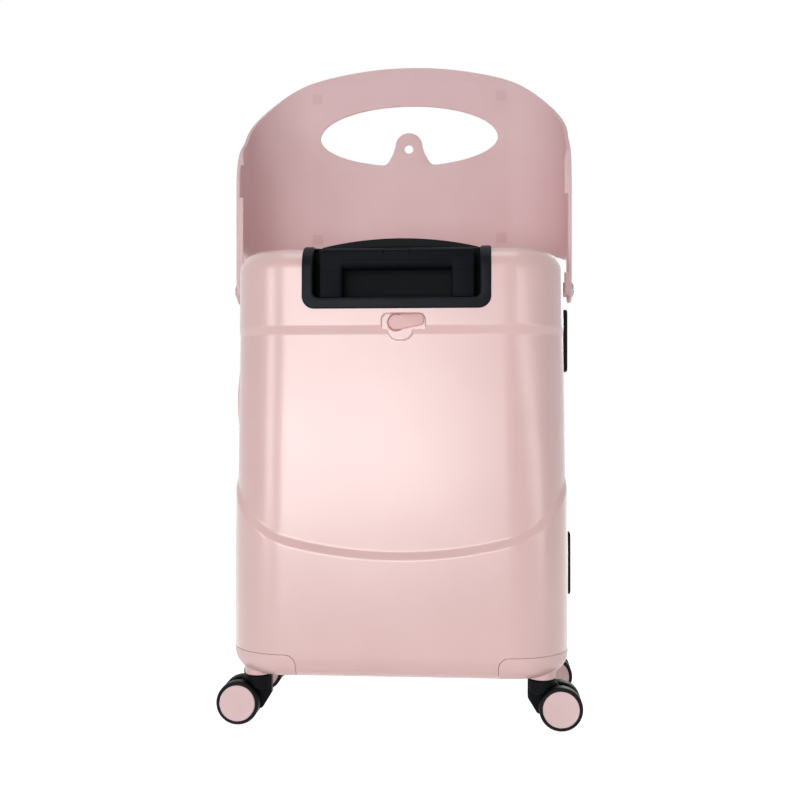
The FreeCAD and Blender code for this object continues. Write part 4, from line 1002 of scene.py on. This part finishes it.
feet = {"long": 78, "wide": 26, "y": 46, "round": 6, "edge": 2.4, "proud": 12,
        "upper": (450, 191), "lower": (172, 195)}
blocks = []
for level, seat in (feet["upper"], feet["lower"]):
    y, wide, long = feet["y"], feet["wide"] / 2, feet["long"] / 2
    outline = roundedBox((y - wide, level - long), (y + wide, level + long), feet["round"])
    block = slab([outline], feet["proud"], feet["edge"], 4)
    blocks.append(standSide(block, seat + feet["proud"] / 2))
finishPiece(joined(*blocks), "side_feet_moulding", blackRubber, "lid", ["side_feet"])
print("carry handles and feet ready")


# zip: woven tapes, coil teeth on three sides, and two sliders

zipper = {
    "half": 190.4, "low": 59.6, "high": 549.4, "corner": 22, "pitch": 2.6, "tooth": (1.5, 3, 1.6),
    "proud": 0.5, "rearLine": 19.7, "frontLine": 22.3, "middle": 21, "levels": {"upper": 470, "lower": 425},
}


# Places and directions along the rim: from the right end of the top, down the left, and along the bottom.
def rimPlaces(shift):
    half, corner, low, high = zipper["half"], zipper["corner"], zipper["low"], zipper["high"]
    left, right = corner - half, half - corner
    topZ, lowZ = high - corner, low + corner
    arc = corner * pi / 2
    runs = [right - left, arc, topZ - lowZ, arc, right - left]
    places = []
    for number in range(int(sum(runs) / zipper["pitch"])):
        s = number * zipper["pitch"] + shift
        for kind, run in enumerate(runs):
            if s <= run:
                break
            s -= run
        turn = s / corner
        places.append([
            (right - s, high, 0),
            (left - corner * sin(turn), topZ + corner * cos(turn), -turn),
            (-half, topZ - s, -pi / 2),
            (left - corner * cos(turn), lowZ - corner * sin(turn), -pi / 2 - turn),
            (left + s, low, -pi)][kind])
    return places


def zipTeeth(y, shift):
    bm = bmesh.new()
    long, wide, high = zipper["tooth"]
    shape = Matrix.Translation((0, 0, zipper["proud"] - high / 2)) @ Matrix.Diagonal((long, wide, high, 1))
    for x, z, turn in rimPlaces(shift):
        place = Matrix.Translation((x, y, z)) @ Matrix.Rotation(turn, 4, "Y")
        bmesh.ops.create_cube(bm, size=1.0, matrix=place @ shape)
    return bm


for node, line, shift, body in (("zip_tape_rear", "rearLine", 0.0, "case"),
                                ("zip_tape_front", "frontLine", zipper["pitch"] / 2, "lid")):
    smoothCopy(node, zipFabric, 30)
    finishPiece(zipTeeth(zipper[line], shift), node + "_teeth", zipTooth, body)

slider = {"x": -191.05, "wide": 9, "long": 13, "thick": 3.2, "edge": 0.8, "bridge": 1.1,
          "pullWide": 6, "pullLong": 26, "pullThick": 1.6, "pullRound": 2.9, "eye": 1.5, "eyeRound": 1.4}
for name, level in zipper["levels"].items():
    y, x, thick, pullThick = zipper["middle"], slider["x"], slider["thick"], slider["pullThick"]
    wide, long, pull, eye = slider["wide"] / 2, slider["long"] / 2, slider["pullWide"] / 2, slider["eye"]
    saddle = slab([rounded([
        (y - wide * 0.6, level - long, 1.5), (y + wide * 0.6, level - long, 1.5),
        (y + wide, level + long * 0.4, 2), (y + wide, level + long, 2),
        (y - wide, level + long, 2), (y - wide, level + long * 0.4, 2)])],
        thick, slider["edge"])
    low = level - long - slider["pullLong"]
    puller = slab([
        roundedBox((y - pull, low), (y + pull, level + long / 2), slider["pullRound"], slider["eyeRound"]),
        roundedBox((y - eye, low + 3), (y + eye, low + 11), slider["eyeRound"])], pullThick, 0.5)
    bridge = blockBetween((x - thick - pullThick - 0.2, y - slider["bridge"], level + 0.5),
                          (x - thick / 2, y + slider["bridge"], level + long * 0.85))
    bmesh.ops.bevel(bridge, geom=bridge.edges[:], offset=0.5, affect="EDGES", segments=2, profile=0.5,
                    material=-1)
    casting = joined(standSide(saddle, x - thick / 2), standSide(puller, x - thick - pullThick / 2), bridge)
    node = f"zip_slider_{name}"
    finishPiece(casting, node + "_casting", sliderMetal, node, [node])
print("zip ready")


# casters: hooded forks, tyres and discs, built about the swivel line with the wheels trailing to +X

caster = {
    "trail": 21, "axleZ": 25, "forkTop": 55.6, "hood": 16, "hoodRadius": 16, "skirt": 17, "forkWide": 12,
    "wheel": 25, "hub": 20.9, "gap": 7, "out": 23, "pin": 5, "pinTop": 79.5, "clear": 0.9, "clearDeep": 40,
    "bore": 3.05, "treadRound": 3.4, "discDeep": 7, "discPlay": 0.1, "discFloor": 2.25,
}


def forkShape():
    top, radius, trail, axleZ = caster["forkTop"], caster["hoodRadius"], caster["trail"], caster["axleZ"]
    low, pin, pinTop = top - caster["hood"], caster["pin"], caster["pinTop"]
    hood = turnedPiece([(0, low), (radius - 1.5, low), (radius, low + 1.5), (radius, top - 1),
                        (radius - 1, top), (pin, top), (pin, pinTop), (0, pinTop)])
    cheek = slab([rounded([
        (-radius, top - 3, 0), (-radius, top - caster["skirt"] - 5, 3), (-5, axleZ - 9.5, 4),
        (trail - 6, axleZ - 10, 6), (trail + 9, axleZ - 9, 8), (trail + 9, axleZ + 9, 8),
        (radius, top - 3, 3)])], caster["forkWide"], 1.4)
    room, deep = caster["wheel"] + caster["clear"], caster["clearDeep"]
    envelopes = []
    for side in sides.values():
        disc = turned(turnedPiece([(0, 0), (room, 0), (room, deep), (0, deep)], 64), side * -pi / 2, "X")
        envelopes.append(moved(disc, (trail, side * caster["forkWide"] / 2, axleZ)))
    return carved(carved(hood, envelopes), [standUp(cheek)], "UNION")


# A shape turned for the wheel on one side, with its twin on the other.
def wheelPair(profile):
    near = turned(turnedPiece(profile, 64), pi / 2, "X")
    far = turned(near.copy(), pi, "Z")
    return moved(joined(near, far), (caster["trail"], 0, caster["axleZ"]))


# The tyre is moulded on a black core that closes the wheel's inner side.
def tyreShape():
    gap, out, hub, wheel, bore = (caster[name] for name in ("gap", "out", "hub", "wheel", "bore"))
    ring, floor = caster["treadRound"], out - caster["discDeep"]
    core = [(bore, gap + 0.2), (7, gap + 0.2), (8, gap + 1), (hub - 2, gap + 1.2), (wheel - 1.8, gap)]
    tread = [(wheel - 0.5, gap + 1), (wheel, gap + 3)] + arcPoints(wheel - ring, out - ring, ring, 0, 90, 8)
    seat = [(hub + 0.3, out - 0.1), (hub, out - 0.5), (hub, floor), (bore, floor)]
    return wheelPair(core + tread + seat + core[:1])


def discShape():
    out, bore, hub = caster["out"], caster["bore"], caster["hub"] - caster["discPlay"]
    back, floor = out - caster["discDeep"] + caster["discPlay"], out - caster["discFloor"]
    face = smoothLine([(0, out - 0.55), (hub * 0.5, out - 0.5), (hub * 0.9, out - 0.25),
                       (hub - 0.7, out - 0.3)], 4)
    rim = [(hub - 0.15, out - 0.6), (hub, out - 1.1), (hub, back)]
    return wheelPair(face + rim + [(bore, back), (bore, floor), (0, floor)])


for end in halves:
    for sideName, side in sides.items():
        corner = f"{end}_{sideName}"
        for shape, node, material, body, slotName in (
                (forkShape, "caster_fork_", blackPlasticPaintedShade, "caster_", "black_plastic"),
                (tyreShape, "caster_tyres_", tyreRubber, "wheels_", "tyre_black"),
                (discShape, "caster_hubs_", hubPink, "wheels_", "trim_plastic")):
            bm = shape()
            if side < 0:
                turned(bm, pi, "Z")
            moved(bm, (side * bracket["stemX"], bracket[end], 0))
            finishPiece(bm, f"{node}{corner}_finished", material, body + corner, [node + corner])
        smoothCopy(f"caster_axle_{corner}", screwSteel)
print("casters ready")


# light, floor and camera

stageLook = {"floorSize": 12, "floorColour": "#F2F0F0", "white": "#FFFFFF",
             "floorLift": 0.93, "ambient": 0.19}
white = linearColour(stageLook["white"])
floorShape = bmesh.new()
bmesh.ops.create_grid(floorShape, x_segments=1, y_segments=1, size=stageLook["floorSize"])
floor = asObject(floorShape, "floor")


# Rays that look at the stage and carry no light to the object's matt surfaces.
def raysThatSee(tree):
    rays = addNode(tree, "ShaderNodeLightPath")
    sharp = addNode(tree, "ShaderNodeMath", {"operation": "MAXIMUM"}, {
        0: rays.outputs["Is Glossy Ray"], 1: rays.outputs["Is Transmission Ray"]})
    return addNode(tree, "ShaderNodeMath", {"operation": "MAXIMUM"}, {
        0: rays.outputs["Is Camera Ray"], 1: sharp.outputs["Value"]}).outputs["Value"]


# Matt white paper floor: white to the camera and in reflections, a plain pale grey to all other light.
paper, tree = newMaterial("matt_white_paper")[:2]
matt = addNode(tree, "ShaderNodeBsdfDiffuse", {"Color": linearColour(stageLook["floorColour"])})
lift = addNode(tree, "ShaderNodeEmission", {"Color": white, "Strength": stageLook["floorLift"]})
both = addNode(tree, "ShaderNodeAddShader", None, {0: matt.outputs["BSDF"], 1: lift.outputs["Emission"]})
mixed = addNode(tree, "ShaderNodeMixShader", None, {
    "Fac": raysThatSee(tree), 1: matt.outputs["BSDF"], 2: both.outputs["Shader"]})
addNode(tree, "ShaderNodeOutputMaterial", None, {"Surface": mixed.outputs["Shader"]})
floor.data.materials.append(paper)

world = bpy.data.worlds.new("studio")
bpy.context.scene.world = world
world.use_nodes = True
tree = world.node_tree
tree.nodes.clear()
ambient = addNode(tree, "ShaderNodeBackground", {"Color": white, "Strength": stageLook["ambient"]})
backdrop = addNode(tree, "ShaderNodeBackground", {"Color": white, "Strength": 1.0})
sky = addNode(tree, "ShaderNodeMixShader", None, {
    "Fac": raysThatSee(tree), 1: ambient.outputs["Background"], 2: backdrop.outputs["Background"]})
addNode(tree, "ShaderNodeOutputWorld", None, {"Surface": sky.outputs["Shader"]})

# Softboxes, in metres and watts. Key and low stand one over the other, so the shell shows one tall highlight.
softboxes = {
    "key": {"place": (-0.5, -2.5, 0.87), "aim": (0, 0, 0.4), "size": (1.05, 0.78), "power": 9.8},
    "low": {"place": (-0.42, -2.1, 0.22), "aim": (0, 0, 0.25), "size": (1, 0.42), "power": 7.6},
    "rightStrip": {"place": (1.18, -1.05, 0.4), "aim": (0.15, -0.08, 0.35), "size": (0.3, 1.4), "power": 3,
                   "along": (-0.59, -0.66, 0.46)},
    "leftStrip": {"place": (-1.7, -1.6, 0.45), "aim": (0, 0, 0.4), "size": (0.6, 1.3), "power": 8},
    "top": {"place": (0, -0.4, 2.6), "aim": (0, 0, 0.3), "size": (1.6, 1.2), "power": 9, "along": (0, 1, 0)},
    "back": {"place": (0.6, 2.5, 1.3), "aim": (0, 0, 0.45), "size": (1.6, 1.4), "power": 28},
}


# The turn of a light that faces its aim, with its second side along a given direction, or else upright.
def lampTurn(box):
    back = (Vector(box["place"]) - Vector(box["aim"])).normalized()
    side = Vector(box.get("along", (0, 0, 1))).cross(back).normalized()
    return Matrix((side, back.cross(side), back)).transposed().to_euler()


for name, box in softboxes.items():
    lamp = bpy.data.lights.new(name, "AREA")
    lamp.shape = "RECTANGLE"
    lamp.size, lamp.size_y = box["size"]
    lamp.energy = box["power"]
    lampObject = bpy.data.objects.new(name, lamp)
    lampObject.location = box["place"]
    lampObject.rotation_euler = lampTurn(box)
    bpy.context.scene.collection.objects.link(lampObject)

photoView = {"place": (0.095, -1.370, 0.376), "yaw": 4.3, "lens": 50.2, "sensor": 36, "shiftX": 0.004}
lensData = bpy.data.cameras.new("camera")
lensData.sensor_fit = "HORIZONTAL"
lensData.sensor_width = photoView["sensor"]
lensData.lens = photoView["lens"]
lensData.shift_x = photoView["shiftX"]
camera = bpy.data.objects.new("camera", lensData)
camera.location = photoView["place"]
camera.rotation_euler = (pi / 2, 0, radians(photoView["yaw"]))
bpy.context.scene.collection.objects.link(camera)
bpy.context.scene.camera = camera
bpy.context.scene.view_settings.view_transform = "Standard"

print("scene ready")
